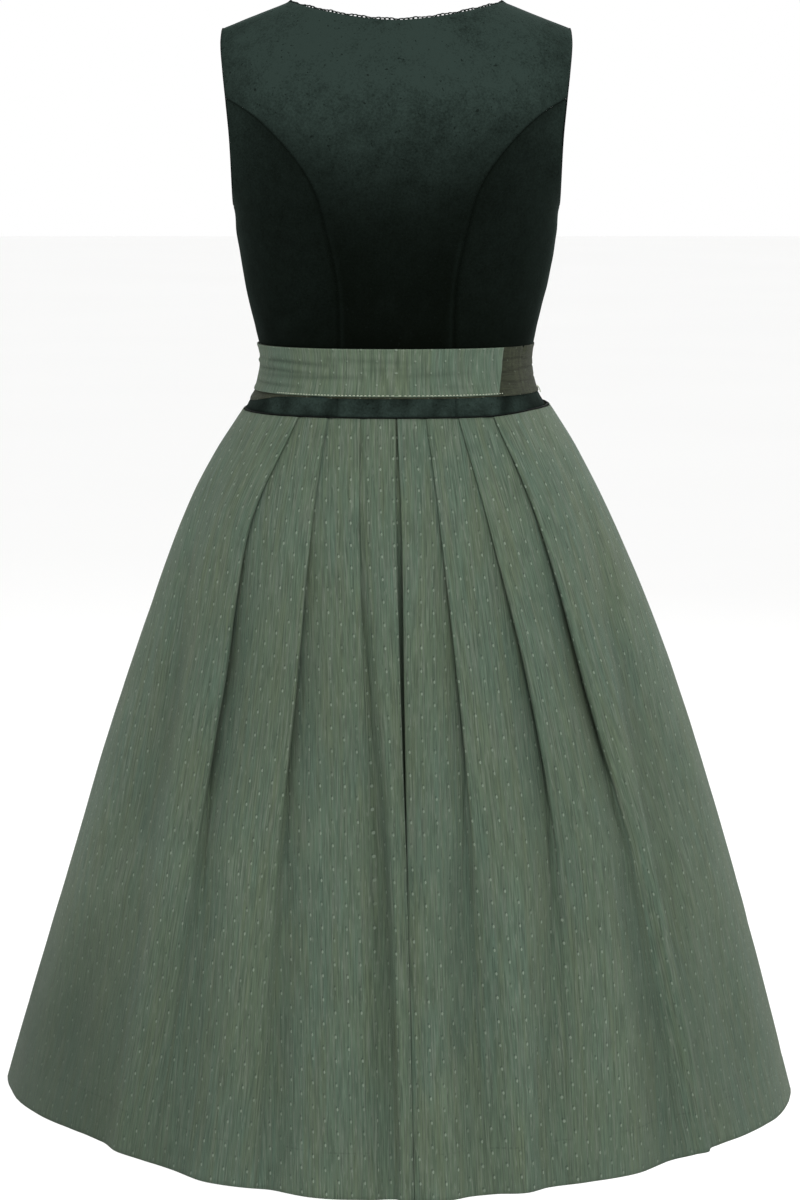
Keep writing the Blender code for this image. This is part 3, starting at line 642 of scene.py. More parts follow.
def belt_cloth():
    """The skirt's cloth, with a faint painted highlight along its turned edges."""
    finish = Finish("belt_over_cloth", 0.72, sheen=0.02, specular=0.14)
    across, along = finish.on_cloth()
    base, relief = woven(finish, across, along)
    pale, dark = dots(finish, across, along, *BELT_DOTS)
    base = finish.blend(pale * 0.60, finish.blend(dark * 0.30, base, DOT_DARK), PALE_DOT_AND_HIGHLIGHT)
    width = BELT_TOP - BELT_BOTTOM
    # A faint painted highlight along both turned edges, broken at random
    edge = along.between(0.0013, 0.0006) + along.between(width - 0.0016, width - 0.0006)
    ragged = finish.flat_mottle(across * 160.0, along * 60.0)
    base = finish.blend(edge * ragged * 0.18, base, PALE_DOT_AND_HIGHLIGHT)
    raised = relief * 0.6 + weave_relief(across, along) * 0.25 + pale
    # Painted shade in the creases and towards the wearer's left side
    colour = finish.blend(finish.tone(), base, CLOTH_DARK_THREADS_AND_SHADE)
    return finish.looks(colour, 0.66 + relief * 0.12, raised, 0.00028)


def belt_under_cloth():
    """The same weave in brown grey, with painted shade in its folds."""
    finish = Finish("belt_under_cloth", 0.78, sheen=0.02, specular=0.12)
    across, along = finish.on_cloth()
    fine = streaks(finish, along, across, 0.0012, 0.014, 5.3)
    broad = streaks(finish, across, along, 0.0040, 0.040, 23.9)
    base = finish.blend(fine.between(0.40, 0.60), tuple(0.66 * c for c in BROWN_GREY), BROWN_GREY)
    base = finish.blend(broad.between(0.48, 0.66) * 0.6, base, BROWN_LIGHT)
    pale, _ = dots(finish, across, along, *BELT_DOTS)
    base = finish.blend(pale * 0.30, base, PALE_DOT_AND_HIGHLIGHT)
    raised = fine * 0.8 + weave_relief(across, along) * 0.25 + pale
    # Painted shade in the pressed folds
    colour = finish.blend(finish.tone(), base, BROWN_PAINTED_SHADE)
    return finish.looks(colour, 0.72 + fine * 0.10, raised, 0.00028)


def twisted_cord(name, deep, pale, scale, roughness):
    """A thread or cord: two tones in fine twisted bands with a matt, fibrous face."""
    finish = Finish(name, roughness, sheen=0.01, specular=0.04)
    place = finish.place()
    band = finish.mottle(place, scale, 3.0, 0.7)
    fibre = finish.mottle(place, scale * 3.7, 2.0, 0.7)
    colour = finish.blend(band.between(0.35, 0.65) * 0.8 + fibre * 0.2, deep, pale)
    return finish.looks(colour, roughness - 0.06 + fibre * 0.12, band + fibre * 0.5, 0.00012)


# The bodice

SEAM_DIP, SEAM_DIP_WIDTH = 0.0006, 0.0022
SEAM_SHADE_WIDTH = 0.0016
BODICE_PROUD = 0.0002       # the velvet stands this far out from its form
BODICE_ROWS, SIDE_ROWS = 120, 100
BACK_COLUMNS, FRONT_COLUMNS, SIDE_COLUMNS = 110, 62, 34
BODICE_LENGTH, SIDE_WIDTH = 0.375, 0.115                  # of the flat panels
FRONT_GAP = 0.00008         # from centre front to each front edge
BOTTOM_EASES = WAIST_SEAM + 0.008    # below it a side panel's rows bend to the waist seam


# Painted light on the pile at each height, on the centre panels and on the side panels: lighter high on the
# back, where light from above falls, and darkest just above the waist
PaintedLight = namedtuple("PaintedLight", "height centre side")
PAINTED_LIGHT_ROWS = [PaintedLight(*row) for row in (
    (-0.06, 0.56, 0.56), (-0.037, 0.56, 0.56), (-0.03, 0.03, 0.08), (0.03, 0.03, 0.1), (0.07, 0.05, 0.15),
    (0.116, 0.12, 0.17), (0.15, 0.28, 0.2), (0.18, 0.5, 0.26), (0.215, 0.78, 0.4), (0.255, 1.02, 0.5),
    (0.3, 0.98, 0.5),
)]
STRIP_TOP = -0.034


def painted_light_at(height, x, face, beyond_seam):
    """The painted light on the pile at a place, with painted shade near the seams and towards the sides and
    a painted highlight beside the seam; beyond_seam is 0 on a centre panel and 0 to 1 across a side one.
    """
    painted_levels = [row.side if beyond_seam else row.centre for row in PAINTED_LIGHT_ROWS]
    lit = smooth_between([row.height for row in PAINTED_LIGHT_ROWS], painted_levels, height)
    smear = unevenness((x, height * 0.5, face * 0.1), 0.013, 4.0)
    # Below the belt: random smears, with painted shade towards the sides
    if height < STRIP_TOP:
        return lit * (1 + 1.1 * smear) * mix(1.0, 0.45, ramp(0.095, 0.135, abs(x)))
    lit += 0.06 * max(smear, 0.0) * ramp(0.07, 0.03, height)
    # Across a side panel the painted light grows from the princess seam towards the side seam
    if beyond_seam:
        return lit * mix(0.55, 1.30, beyond_seam)
    to_seam = (armhole if height > meeting_height(face) else princess)(face, height) - abs(x)
    # Painted shade near the seam below the shoulder blades, a painted highlight just beside the seam low
    # down, and painted shade towards the sides
    shaded = 0.30 * ramp(0.06, 0.0, to_seam) * ramp(0.23, 0.19, height)
    painted_highlight = 0.05 * hump(to_seam - 0.003, 0.002) * ramp(0.13, 0.08, height)
    return lit * (1 - shaded) * mix(1.0, 0.66, ramp(0.105, 0.158, abs(x))) + painted_highlight


def beside_seam(height, to_seam):
    """The painted shade beside a seam, as the share of light it leaves: more light is left below the belt,
    where the panels sit smoother.
    """
    return 1 - mix(0.20, 0.55, ramp(STRIP_TOP, 0.0, height)) * hump(to_seam, SEAM_SHADE_WIDTH)


def seam_dip(*distances):
    """How far the cloth sinks beside its seams."""
    return SEAM_DIP * sum(hump(distance, SEAM_DIP_WIDTH) for distance in distances)


def under_belt(height):
    """How far the belt presses the bodice in, which it does a little inside its own edges."""
    above = ramp(BELT_BOTTOM + 0.002, BELT_BOTTOM + 0.008, height)
    return UNDER_BELT * above * ramp(BELT_TOP - 0.002, BELT_TOP - 0.008, height)


def body_point(face, side, height, x, sunk):
    """A point of the bodice, sunk below its form by seams, creases and the cloth's own unevenness."""
    angle = form_angle(height, x)
    point = on_form(face, side, height, angle)
    creases = BACK_CREASES if face == BACK else FRONT_CREASES
    sunk += sunk_by(creases, side * x, height)
    sunk += under_belt(height)
    sunk += 0.0007 * unevenness(point, 0.050, 3.0) + 0.0004 * unevenness(point, 0.019, 8.0)
    return point - outward(face, side, height, angle) * (sunk - BODICE_PROUD)


def centre_place(face, share, level, half_from):
    """A point of a centre panel, whose upper rows close up towards neck and shoulder."""
    height = max(level, panel_bottom(0.0))
    side = LEFT if share > 0 else RIGHT
    share = abs(share)
    if level > CLOSES_FROM:
        top = neck_height(face, share * SHOULDER_HALF)
        height = mix(CLOSES_FROM, top, (level - CLOSES_FROM) / (SHOULDER_TIP - CLOSES_FROM))
    above = height > meeting_height(face)
    half = armhole(face, height) if above else princess(face, height)
    x = mix(half_from, half, share)
    gap = (1 - share) * half if face == FRONT else 1.0
    to_seam = 1.0 if above else (1 - share) * half
    to_top = (SHOULDER_TIP - level) * 1.2 if x > NECK_HALF else 1.0
    to_bottom = level - panel_bottom(0.0)
    dips = seam_dip(to_seam, to_top, gap if share < 0.01 else 1.0, to_bottom)
    point = body_point(face, side, height, x, dips)
    point.y = face * max(face * point.y, 0.0)
    # Painted light on the pile, with painted shade beside the seam
    painted_light = painted_light_at(height, side * x, face, 0.0) * beside_seam(height, to_seam)
    return point, (side * x, height - WAIST_SEAM), painted_light


def centre_levels(face):
    """Rows for a centre panel, with one where the princess seam meets the armhole."""
    low, high = panel_bottom(0.0), SHOULDER_TIP
    return sorted(steps(low, high, BODICE_ROWS) + [low + 0.0015, meeting_height(face)])


def centre_panel(name, face, across, half_from, width, finish):
    """The back, or one of the fronts, which ends half_from from the centre line."""
    def place(share, level):
        return centre_place(face, share, level, half_from)

    cut = (width, BODICE_LENGTH)
    cloth(name, across, centre_levels(face), place, VELVET, finish, cut)


def side_panel(name, face, side, finish):
    """A side panel, from the princess seam to the side seam and the lower part of the armhole."""
    def place(across, level):
        height = level
        if level <= BOTTOM_EASES:
            bottom = panel_bottom(side * mix(PRINCESS_AT_WAIST, SIDE_AT_WAIST, across))
            height = mix(bottom, BOTTOM_EASES, (level - lowest) / (BOTTOM_EASES - lowest))
        ring = form_ring(height)
        start = form_angle(height, princess(face, height))
        end = form_angle(height, armhole(face, height)) if height > UNDERARM else pi / 2
        angle = mix(start, end, across)
        x = ring.half_width * sin(angle) ** (2 / ring.power)
        width = (end - start) * ring.half_width * 0.85
        dips = seam_dip(across * width, (1 - across) * width, level - lowest)
        point = body_point(face, side, height, x, dips)
        flat = (side * (princess(face, height) + across * width), height - WAIST_SEAM)
        # Painted light on the pile, with painted shade beside the seam
        painted_light = painted_light_at(height, side * x, face, max(across, 0.01))
        return point, flat, painted_light * beside_seam(height, across * width)

    lowest = WAIST_SEAM + PIPING_RADIUS
    up = steps(lowest, meeting_height(face) - 0.0005, SIDE_ROWS)
    across, cut = steps(0.0, 1.0, SIDE_COLUMNS), (SIDE_WIDTH, up[-1] - up[0])
    cloth(name, across, up, place, VELVET, finish, cut)


def armhole_line(side, count=90):
    """Points round an armhole and the way the cloth looks there: up the back and down the front."""
    spots = []
    for face in (BACK, FRONT):
        heights = steps(UNDERARM, SHOULDER_TIP, count)
        for height in heights[:-1] if face == BACK else heights[:0:-1]:
            angle = form_angle(height, armhole(face, height)) if height > UNDERARM else pi / 2
            spots.append(spot_on_form(face, side, height, angle))
        if face == BACK:
            tip = Vector((side * SHOULDER_HALF, 0.0, SHOULDER_TIP))
            spots.append((tip, Vector((side * SHOULDER_FALL, 0.0, 1.0)).normalized()))
    return spots


def armhole_piping(name, side, finish):
    """Piping round an armhole, lying against the panels' edge."""
    spots = [spot for k, spot in enumerate(armhole_line(side)) if k]
    points = []
    for k, (point, facing) in enumerate(spots):
        along = spots[(k + 1) % len(spots)][0] - spots[k - 1][0]
        away = along.cross(facing).normalized() * -side
        points.append(point + away * PIPING_RADIUS * 0.35 - facing * VELVET * 0.40)
    tube(name, [points], PIPING_RADIUS, finish, [name], closed=True)


def waist_piping(finish):
    points = []
    for k in range(240):
        face, side, angle = around(tau * k / 240)
        point, facing = spot_on_form(face, side, WAIST_SEAM, angle)
        point -= facing * PIPING_SUNK
        point.z += seam_lift(point.x)
        points.append(point)
    tube("waist_piping", [points], PIPING_RADIUS, finish, ["waist_piping"], closed=True)


# The looped edging of the neckline

LOOP_PITCH = 0.0044
LOOP_RISE = 0.0026
LOOP_THREAD = 0.00058


def neck_line():
    """Closely spaced points of the neckline, from one front edge round to the other.

    Each has the way up along the cloth from the edge and the way in which the cloth looks.
    """
    spots = []
    for face, side, falling in ((FRONT, LEFT, False), (BACK, LEFT, True), (BACK, RIGHT, False),
                                (FRONT, RIGHT, True)):
        shares = steps(0.0, 1.0, 120)
        for share in shares[::-1] if falling else shares[1:]:
            x = share * NECK_HALF
            height = neck_height(face, x)
            spots.append(spot_on_form(face, side, height, form_angle(height, x)))
    line = []
    for k, (point, facing) in enumerate(spots):
        along = spots[min(k + 2, len(spots) - 1)][0] - spots[max(k - 2, 0)][0]
        line.append((point, facing.cross(along).normalized(), facing))
    return line


def neck_trim(finish):
    """Crocheted edging: a foot cord along the neckline with a row of small loops standing on it."""
    line = neck_line()
    lengths = [0.0]
    for k in range(1, len(line)):
        lengths.append(lengths[-1] + (line[k][0] - line[k - 1][0]).length)

    def at(length):
        k = min(max(bisect_right(lengths, length), 1), len(line) - 1)
        share = (length - lengths[k - 1]) / max(lengths[k] - lengths[k - 1], 1e-9)
        point, up, facing = (mix(a, b, share) for a, b in zip(line[k - 1], line[k]))
        return point - facing.normalized() * VELVET * 0.6, up.normalized(), facing.normalized()

    runs = [[at(length)[0] + at(length)[1] * 0.0005 for length in steps(0.0, lengths[-1], 420)]]
    count = int(lengths[-1] / LOOP_PITCH)
    for k in range(count):
        start = k * lengths[-1] / count
        loop = []
        for turn in steps(-0.25, 1.25, 12):
            reach = LOOP_PITCH * (0.5 - 0.62 * cos(pi * turn))
            rise = LOOP_RISE * (0.86 + 0.14 * sin(2.3 * k))
            rise *= max(sin(pi * (turn + 0.25) / 1.5), 0.0)
            point, up, facing = at(min(max(start + reach, 0.0), lengths[-1]))
            loop.append(point + up * (0.0004 + rise) + facing * 0.0006 * sin(pi * turn + k))
        runs.append(loop)
    tube("neck_trim", runs, LOOP_THREAD, finish, ["neck_trim"], sides=1)


# The belt

UNDER_FOLDS = (-0.0075, -0.0165, -0.0265)    # heights of the under layer's pressed folds
UNDER_PRESSED = 0.0006      # how far the upper layer presses the under one in
TUCK_TURN = tau - 1.13
CREASE_PAINTED_SHADE = 310.0         # painted shade added for each metre that a crease is sunk
BELT_ROWS, UNDER_COLUMNS, OVER_COLUMNS = 40, 460, 230
STITCH_PITCH, STITCH_LENGTH, STITCH_THREAD = 0.0029, 0.0012, 0.00040
STITCH_TURNS = (-0.77, 0.94)
LOOSE_THREAD = 0.00048
BELT_CREASES = in_metres(Crease, [
    (136, -6.5, 50, -11.8, 1.9, 1.5), (140, -15, 66, -18.8, 1.6, 1.4), (134, -22.5, 20, -20.8, 2.1, 1.3),
    (138, -29, 80, -30.8, 1.6, 1.2), (136, -10.5, 94, -12.8, 1.5, -0.7), (72, -5.2, -24, -8.5, 2.4, 0.9),
    (40, -15, -30, -13.5, 2.2, 0.7), (10, -20.5, -72, -17.2, 2.6, 0.9), (-20, -29, -88, -30, 2.2, 0.6),
    (96, 1, 128, -13, 2, -0.8),
])


def around(turn):
    """Face, side and angle of a turn all round the body, from centre back towards the wearer's left."""
    turn = (turn + pi) % tau - pi
    side = LEFT if turn >= 0 else RIGHT
    angle = abs(turn)
    if angle <= pi / 2:
        return BACK, side, angle
    return FRONT, side, pi - angle


@lru_cache(maxsize=None)
def waist_length(turn):
    """Length round the waist up to a turn, in one direction from centre back."""
    count = 400
    points = [on_form(*around_at(turn * k / count)) for k in range(count + 1)]
    return copysign(sum((b - a).length for a, b in zip(points, points[1:])), turn)


def around_at(turn):
    face, side, angle = around(turn)
    return face, side, BELT_MIDDLE, angle


def belt_point(turn, height, out):
    face, side, angle = around(turn)
    point, facing = spot_on_form(face, side, height, angle)
    return point + facing * out


def edge_roll(height, low, high):
    """The small roll of cloth turned over a stitched edge."""
    return 0.00035 * (hump(height - low - 0.0016, 0.0012) + hump(height - high + 0.0016, 0.0012))


def belt_sag(turn, height, low):
    """How far the under layer's lower edge hangs down, round the wearer's left side."""
    starts, full, goes, ends = SAG_TURNS
    sag = BELT_SAG * ramp(starts, full, turn) * (1 - ramp(goes, ends, turn))
    return sag * ramp(BELT_BOTTOM + 0.012, low, height)


def belt_under(finish):
    """The under layer, round the whole waist, with three fine folds pressed in lengthways."""
    low = BELT_BOTTOM - BELT_SHOWS

    def place(turn, height):
        out, tone = BELT_EASE + BELTING, 0.0
        for k, fold in enumerate(UNDER_FOLDS):
            wander = 0.0011 * sin(5.0 * turn + 2.1 * k) + 0.0006 * sin(17.0 * turn + k)
            deep = 0.00075 * (0.65 + 0.35 * sin(3.7 * turn + 1.9 * k))
            out -= deep * hump(height - fold - wander, 0.0009)
            # Painted shade along each pressed fold
            tone += 0.55 * hump(height - fold - wander, 0.0011)
        out += edge_roll(height, low, BELT_TOP)
        out += 0.0004 * unevenness((turn * 0.12, height, 0.0), 0.016, 5.0)
        out -= 0.0012 * hump(turn - TUCK_TURN, 0.035) * ramp(-0.006, 0.004, height)
        face, side, angle = around(turn)
        near = (turn + pi) % tau - pi
        out -= UNDER_PRESSED * ramp(-0.80, -0.62, near) * (1 - ramp(1.45, 1.65, near))
        if face == BACK:
            out -= max(sunk_by(BELT_CREASES, on_form(face, side, height, angle).x, height), 0.0)
        point = belt_point(turn, height - belt_sag(turn, height, low), out)
        return point, (turn * WAIST_REACH, height - low), tone

    across = steps(BELT_JOIN + BELT_JOIN_GAP, BELT_JOIN + tau - BELT_JOIN_GAP, UNDER_COLUMNS)
    up = steps(low, BELT_TOP, BELT_ROWS)
    cut = (waist_length(tau - 1e-6), BELT_TOP - low)
    cloth("belt_under", across, up, place, BELTING, finish, cut)


def belt_over(finish):
    """The upper layer, from its free end at the wearer's right back to just round the left side."""
    def place(share, height):
        slant = (height - BELT_BOTTOM) / (BELT_TOP - BELT_BOTTOM)
        first = -form_angle(height, mix(BELT_END_BOTTOM, BELT_END_TOP, slant))
        turn = mix(first, BELT_OVER_STOP, share)
        face, side, angle = around(turn)
        point = on_form(face, side, height, angle)
        sunk = sunk_by(BELT_CREASES, point.x, height) if face == BACK else 0.0
        out = BELT_OVER_OUT - sunk + edge_roll(height, BELT_BOTTOM, BELT_TOP)
        out += 0.0003 * hump((turn - first) * WAIST_REACH - 0.0020, 0.0014)
        out += 0.0005 * unevenness((turn * 0.12, height * 2.0, 0.0), 0.022, 11.0)
        # Painted shade in the creases and towards the wearer's left side
        tone = CREASE_PAINTED_SHADE * max(sunk, 0.0) + 0.20 * ramp(0.07, 0.125, point.x)
        flat = (turn * WAIST_REACH, height - BELT_BOTTOM)
        return point + outward(face, side, height, angle) * out, flat, min(tone, 0.6)

    across, up = steps(0.0, 1.0, OVER_COLUMNS), steps(BELT_BOTTOM, BELT_TOP, BELT_ROWS)
    length = waist_length(BELT_OVER_STOP) + waist_length(form_angle(BELT_TOP, BELT_END_TOP))
    cut = (length, BELT_TOP - BELT_BOTTOM)
    cloth("belt_over", across, up, place, BELTING, finish, cut)


def belt_stitches(finish):
    """A row of cream running stitches just above the belt's lower edge."""
    start, stop = STITCH_TURNS
    count = int((stop - start) * WAIST_REACH / STITCH_PITCH)
    runs = []
    for k in range(count):
        turn = mix(start, stop, k / count) + 0.0016 * sin(5.1 * k)
        shown = 0.10 + 0.90 * ramp(1.02, 0.80, turn) * ramp(start, -0.62, turn)
        reach = STITCH_LENGTH / WAIST_REACH * (0.45 + 0.55 * shown)
        stitch = []
        for share in (0.0, 0.2, 0.5, 0.8, 1.0):
            out = BELT_OVER_OUT + 0.0002 + 0.00045 * sin(pi * share)
            stitch.append(belt_point(turn + reach * share, BELT_BOTTOM + 0.0010, out))
        runs.append(stitch)
    tube("belt_stitches", runs, STITCH_THREAD, finish, [], sides=1)


def belt_thread(finish):
    """The short loop of white thread that hangs at the belt's lower edge, at the wearer's right."""
    points = []
    for share in steps(0.0, 1.0, 16):
        turn = -1.385 - 0.036 * share - 0.012 * sin(pi * share)
        height = BELT_BOTTOM + 0.0035 - 0.0062 * share + 0.0010 * sin(tau * share)
        out = BELT_EASE + BELTING + 0.0012 + 0.0010 * sin(pi * share)
        points.append(belt_point(turn, height, out))
    tube("belt_thread", [points], LOOSE_THREAD, finish, [])


# The skirt

SKIRT_ROWS = 132
HOLLOW_PAINTED_SHADE = 20.0         # painted shade added for each metre that the cloth sits deeper
SEAM_HOLDS = 0.03           # the side seam keeps the cloth even as far as this from it
HEM_LIFT = 0.013            # how far the hem hangs higher at the wearer's left side
SKIRT_LEANS = 0.0042        # how far the skirt hangs over towards the wearer's right
HEM_STITCH = 0.648          # distance of the blind hem's stitches down the cloth from the waist seam
PANEL_COLUMNS = 9
FOLD_COLUMNS = (4, 2, 2, 5, 2, 2)
FOLD_NAMES = ("", "turn", "", "", "edge", "")


@lru_cache(maxsize=None)
def skirt_ring(face, height):
    """A quarter of the skirt's ring, centre to side: points and the cloth's length up to each."""
    ring = ring_at(SKIRT, height)
    depth = ring.back if face == BACK else ring.front
    points, lengths = [], []
    for k in range(RING_STEPS + 1):
        angle = pi / 2 * k / RING_STEPS
        x = ring.half_width * sin(angle) ** (2 / ring.power)
        points.append((x, depth * max(cos(angle), 0.0) ** (2 / ring.power)))
        lengths.append(lengths[-1] + dist(points[-1], points[-2]) if k else 0.0)
    return points, lengths


def to_side_seam(face, height):
    """Length along the ring from the centre line to the side seam."""
    return skirt_ring(face, height)[1][-1]


def length_at(face, height, x):
    """Length along the ring from the centre line to x, below nought on the far side of it."""
    points, lengths = skirt_ring(face, height)
    k = min(max(bisect_right([point[0] for point in points], abs(x)), 1), RING_STEPS)
    share = (abs(x) - points[k - 1][0]) / (points[k][0] - points[k - 1][0])
    return copysign(mix(lengths[k - 1], lengths[k], share), x)


def on_skirt(face, height, along, out):
    """The place so far along the ring from the centre line, and so far out from it."""
    points, lengths = skirt_ring(face, height)
    reach = min(abs(along), lengths[-1])
    k = min(max(bisect_right(lengths, reach), 1), RING_STEPS)
    share = (reach - lengths[k - 1]) / (lengths[k] - lengths[k - 1])

    def facing(j):
        if j == 0:
            return 0.0, 1.0
        if j == RING_STEPS:
            return 1.0, 0.0
        before, after = points[j - 1], points[j + 1]
        span = dist(before, after)
        return (before[1] - after[1]) / span, (after[0] - before[0]) / span

    (u0, v0), (u1, v1) = facing(k - 1), facing(k)
    x = mix(points[k - 1][0], points[k][0], share) + out * mix(u0, u1, share)
    y = mix(points[k - 1][1], points[k][1], share) + out * mix(v0, v1, share)
    return Vector((copysign(x, along), face * y, height))


def at_level(values, height):
    return smooth_between(LEVELS[::-1], values[::-1], height)


def edge_of(pleat, face, side, height):
    """Length along the ring from the centre line out to a fold's edge."""
    return side * length_at(face, height, MM * at_level(pleat.x, height))


def fold_of(pleat, edge, height, room):
    """The cloth's path through one fold, outwards from the centre: pairs of length along and out."""
    lap = MM * at_level(pleat.lap, height)
    deep = MM * at_level(pleat.deep, height) * mix(1.0, FOLDS_FLAT, ramp(FLAT_FROM, FLAT_FULL, height))
    spread = max(-lap, FOLD_LEAST)
    sunk = max(lap, 0.0) / (room - edge)
    inner = edge + lap
    folded = ((edge - FOLD_NOSE, 1), (inner - FOLD_NOSE, 1 + sunk), (inner, 0.75 + sunk),
              (inner - FOLD_NOSE, 0.5 + sunk), (edge + FOLD_NOSE, 0.5), (edge, 0.25), (edge + FOLD_NOSE, 0))
    opened = 1 - ramp(-PLEAT_OPENS, PLEAT_OPENS, lap)
    return deep, opened, [
        (mix(along, edge + spread * spot.along, opened), -deep * mix(drop, spot.sunk, opened))
        for (along, drop), spot in zip(folded, VALLEY)]


def half_path(face, side, height):
    """Half of the cloth's middle, from the centre to the side seam.

    It also gives the number of columns in the stretch up to each point, and names the points where the
    layer under a fold turns and where the fold has its edge.
    """
    crown = at_level(CROWN, height)
    seam = to_side_seam(face, height)
    pleats = PLEATS[face, side]
    edges = [edge_of(pleat, face, side, height) for pleat in pleats]
    path, counts, names = [], [], []
    for pleat, edge, room in zip(pleats, edges, edges[1:] + [seam]):
        deep, opened, fold = fold_of(pleat, edge, height, room)
        start = path[-1][0] if path else 0.0
        if pleat.place == "centre":
            path += fold[1:]
        else:
            sunk = deep * PANEL_SINKS * (1 - opened)
            path.append((mix(start, fold[0][0], PANEL_SINKS), crown - sunk))
            path += fold
            counts += (PANEL_COLUMNS, PANEL_COLUMNS)
            names += ("", "")
        counts += FOLD_COLUMNS
        names += ("",) * len(FOLD_NAMES) if pleat.place == "side" else FOLD_NAMES
    near, far = (mix(path[-1][0], seam, share) for share in SIDE_SPOTS)
    path += [(near, crown), (far, crown / 2), (seam, 0.0)]
    counts += (PANEL_COLUMNS, PANEL_COLUMNS // 2, PANEL_COLUMNS // 2)
    names += ("", "", "")
    return path, counts, names


@lru_cache(maxsize=None)
def skirt_row(face, height):
    """One row of the skirt: its points along and out, the cloth's length up to each, the named columns."""
    left, left_counts, left_names = half_path(face, LEFT, height)
    right, right_counts, right_names = half_path(face, RIGHT, height)
    middle = (left[0][1] + right[0][1]) / 2 if face == BACK else at_level(CROWN, height)
    path = [(-along, out) for along, out in right[::-1]] + [(0.0, middle)] + left
    counts = right_counts[::-1] + left_counts
    names = right_names[::-1] + ["middle"] + left_names
    knots = [0.0]
    for a, b in zip(path, path[1:]):
        knots.append(knots[-1] + dist(a, b))
    alongs, outs = zip(*path)
    places, columns = [], []
    for k, count in enumerate(counts):
        columns.append(len(places))
        places += [mix(knots[k], knots[k + 1], j / count) for j in range(count)]
    columns.append(len(places))
    places.append(knots[-1])
    spots = [tuple(smooth_between(knots, values, place) for values in (alongs, outs)) for place in places]
    lengths = [0.0]
    for a, b in zip(spots, spots[1:]):
        lengths.append(lengths[-1] + dist(a, b))
    return spots, lengths, list(zip(columns, names))


@lru_cache(maxsize=None)
def cut_measures(face, height):
    """Each column's measure across the flat cloth, from the centre line.

    From each fold's edge outwards the threads run as they were woven, and the cloth that this height
    doesn't need is taken up in the layer under the next edge.
    """
    _, lengths, named = skirt_row(face, height)
    hem_lengths = skirt_row(face, HEM)[1]
    centre = next(k for k, (_, name) in enumerate(named) if name == "middle")
    middle = named[centre][0]
    measures = [length - lengths[middle] for length in lengths]
    for side in (LEFT, RIGHT):
        begin, base, turn = middle, 0.0, middle
        for column, name in named[centre::side]:
            if name == "turn":
                turn = column
            if name != "edge":
                continue
            target = hem_lengths[column] - hem_lengths[middle]
            turned = base + lengths[turn] - lengths[begin]
            for k in range(begin, turn, side):
                measures[k] = base + lengths[k] - lengths[begin]
            for k in range(turn, column, side):
                measures[k] = mix(turned, target, (k - turn) / (column - turn))
            begin, base = column, target
        for k in range(begin, named[-1][0] + 1 if side == LEFT else -1, side):
            measures[k] = base + lengths[k] - lengths[begin]
    return measures


@lru_cache(maxsize=None)
def down_cloth(height):
    """Length down the cloth from the waist seam to a height."""
    def reach(level):
        ring = ring_at(SKIRT, level)
        return (ring.half_width + ring.back) / 2

    levels = steps(WAIST_SEAM, height, 40)
    return sum(hypot(b - a, reach(b) - reach(a)) for a, b in zip(levels, levels[1:]))


def skirt_painted_shade(point, height, depth):
    """The painted shade on the cloth: in hollows, low at the wearer's left and towards both sides, with
    random darker patches low on the skirt.
    """
    low = ramp(-0.42, -0.66, height)
    tone = 0.50 * low * ramp(0.12, 0.32, point.x) + 0.06 * low * ramp(0.18, 0.34, -point.x)
    tone += 0.06 * (1 - ramp(0.02, 0.16, -point.x) * ramp(-0.46, -0.26, height))
    patch = 0.5 + unevenness((point.x, point.y, height * 0.4), 0.070, 6.0)
    hollow = min(max(0.09 + HOLLOW_PAINTED_SHADE * depth, 0.0), 0.40)
    return tone + hollow * ramp(-0.10, -0.30, height) + 0.10 * patch * ramp(-0.14, -0.34, height)


def skirt_half(name, face, finish):
    """Half of the skirt, back or front, from side seam to side seam, with its pleats."""
    creases = SKIRT_BACK_CREASES if face == BACK else SKIRT_FRONT_CREASES
    near_hem = steps(HEM + 0.08, HEM, 160)
    hem_stitch = next(height for height in near_hem if down_cloth(height) > HEM_STITCH)

    def place(column, height):
        along, laid = skirt_row(face, height)[0][column]
        held = ramp(0.0, SEAM_HOLDS, to_side_seam(face, height) - abs(along))
        out = laid
        lower = ramp(-0.10, -0.45, height)
        out += 0.0016 * held * lower * unevenness((along, height * 0.30, face * 0.1), 0.060, 2.0)
        out += 0.0007 * held * unevenness((along, height * 0.55, face * 0.1), 0.024, 9.0)
        out -= 0.0004 * hump(height - hem_stitch, 0.0016)
        point = on_skirt(face, height, along, out)
        sunk = held * sunk_by(creases, point.x, height)
        if sunk:
            point = on_skirt(face, height, along, out - sunk)
        point.z += seam_lift(point.x) * ramp(LIFT_ENDS, SKIRT_TOP, height)
        point.z += HEM_LIFT * ramp(0.15, 0.31, point.x) * ramp(-0.40, HEM, height)
        leans = SKIRT_LEANS * ramp(-0.10, -0.30, height) * mix(1.0, 0.6, ramp(-0.55, HEM, height))
        point.x -= leans * ramp(0.03, 0.16, abs(point.x))
        flat = (cut_measures(face, height)[column], down_cloth(height))
        return point, flat, skirt_painted_shade(point, height, sunk - laid)

    columns = len(skirt_row(face, HEM)[0])
    near_top = steps(SKIRT_TOP, SKIRT_TOP - 0.02, 8)
    up = (near_top + steps(SKIRT_TOP - 0.02, HEM, SKIRT_ROWS - 8)[1:])[::-1]
    width = max(skirt_row(face, height)[1][-1] for height in (HEM, SKIRT_TOP))
    cut = (width, down_cloth(HEM))
    cloth(name, range(columns), up, place, SKIRTING, finish, cut,
          outside=1.0)


# The stage

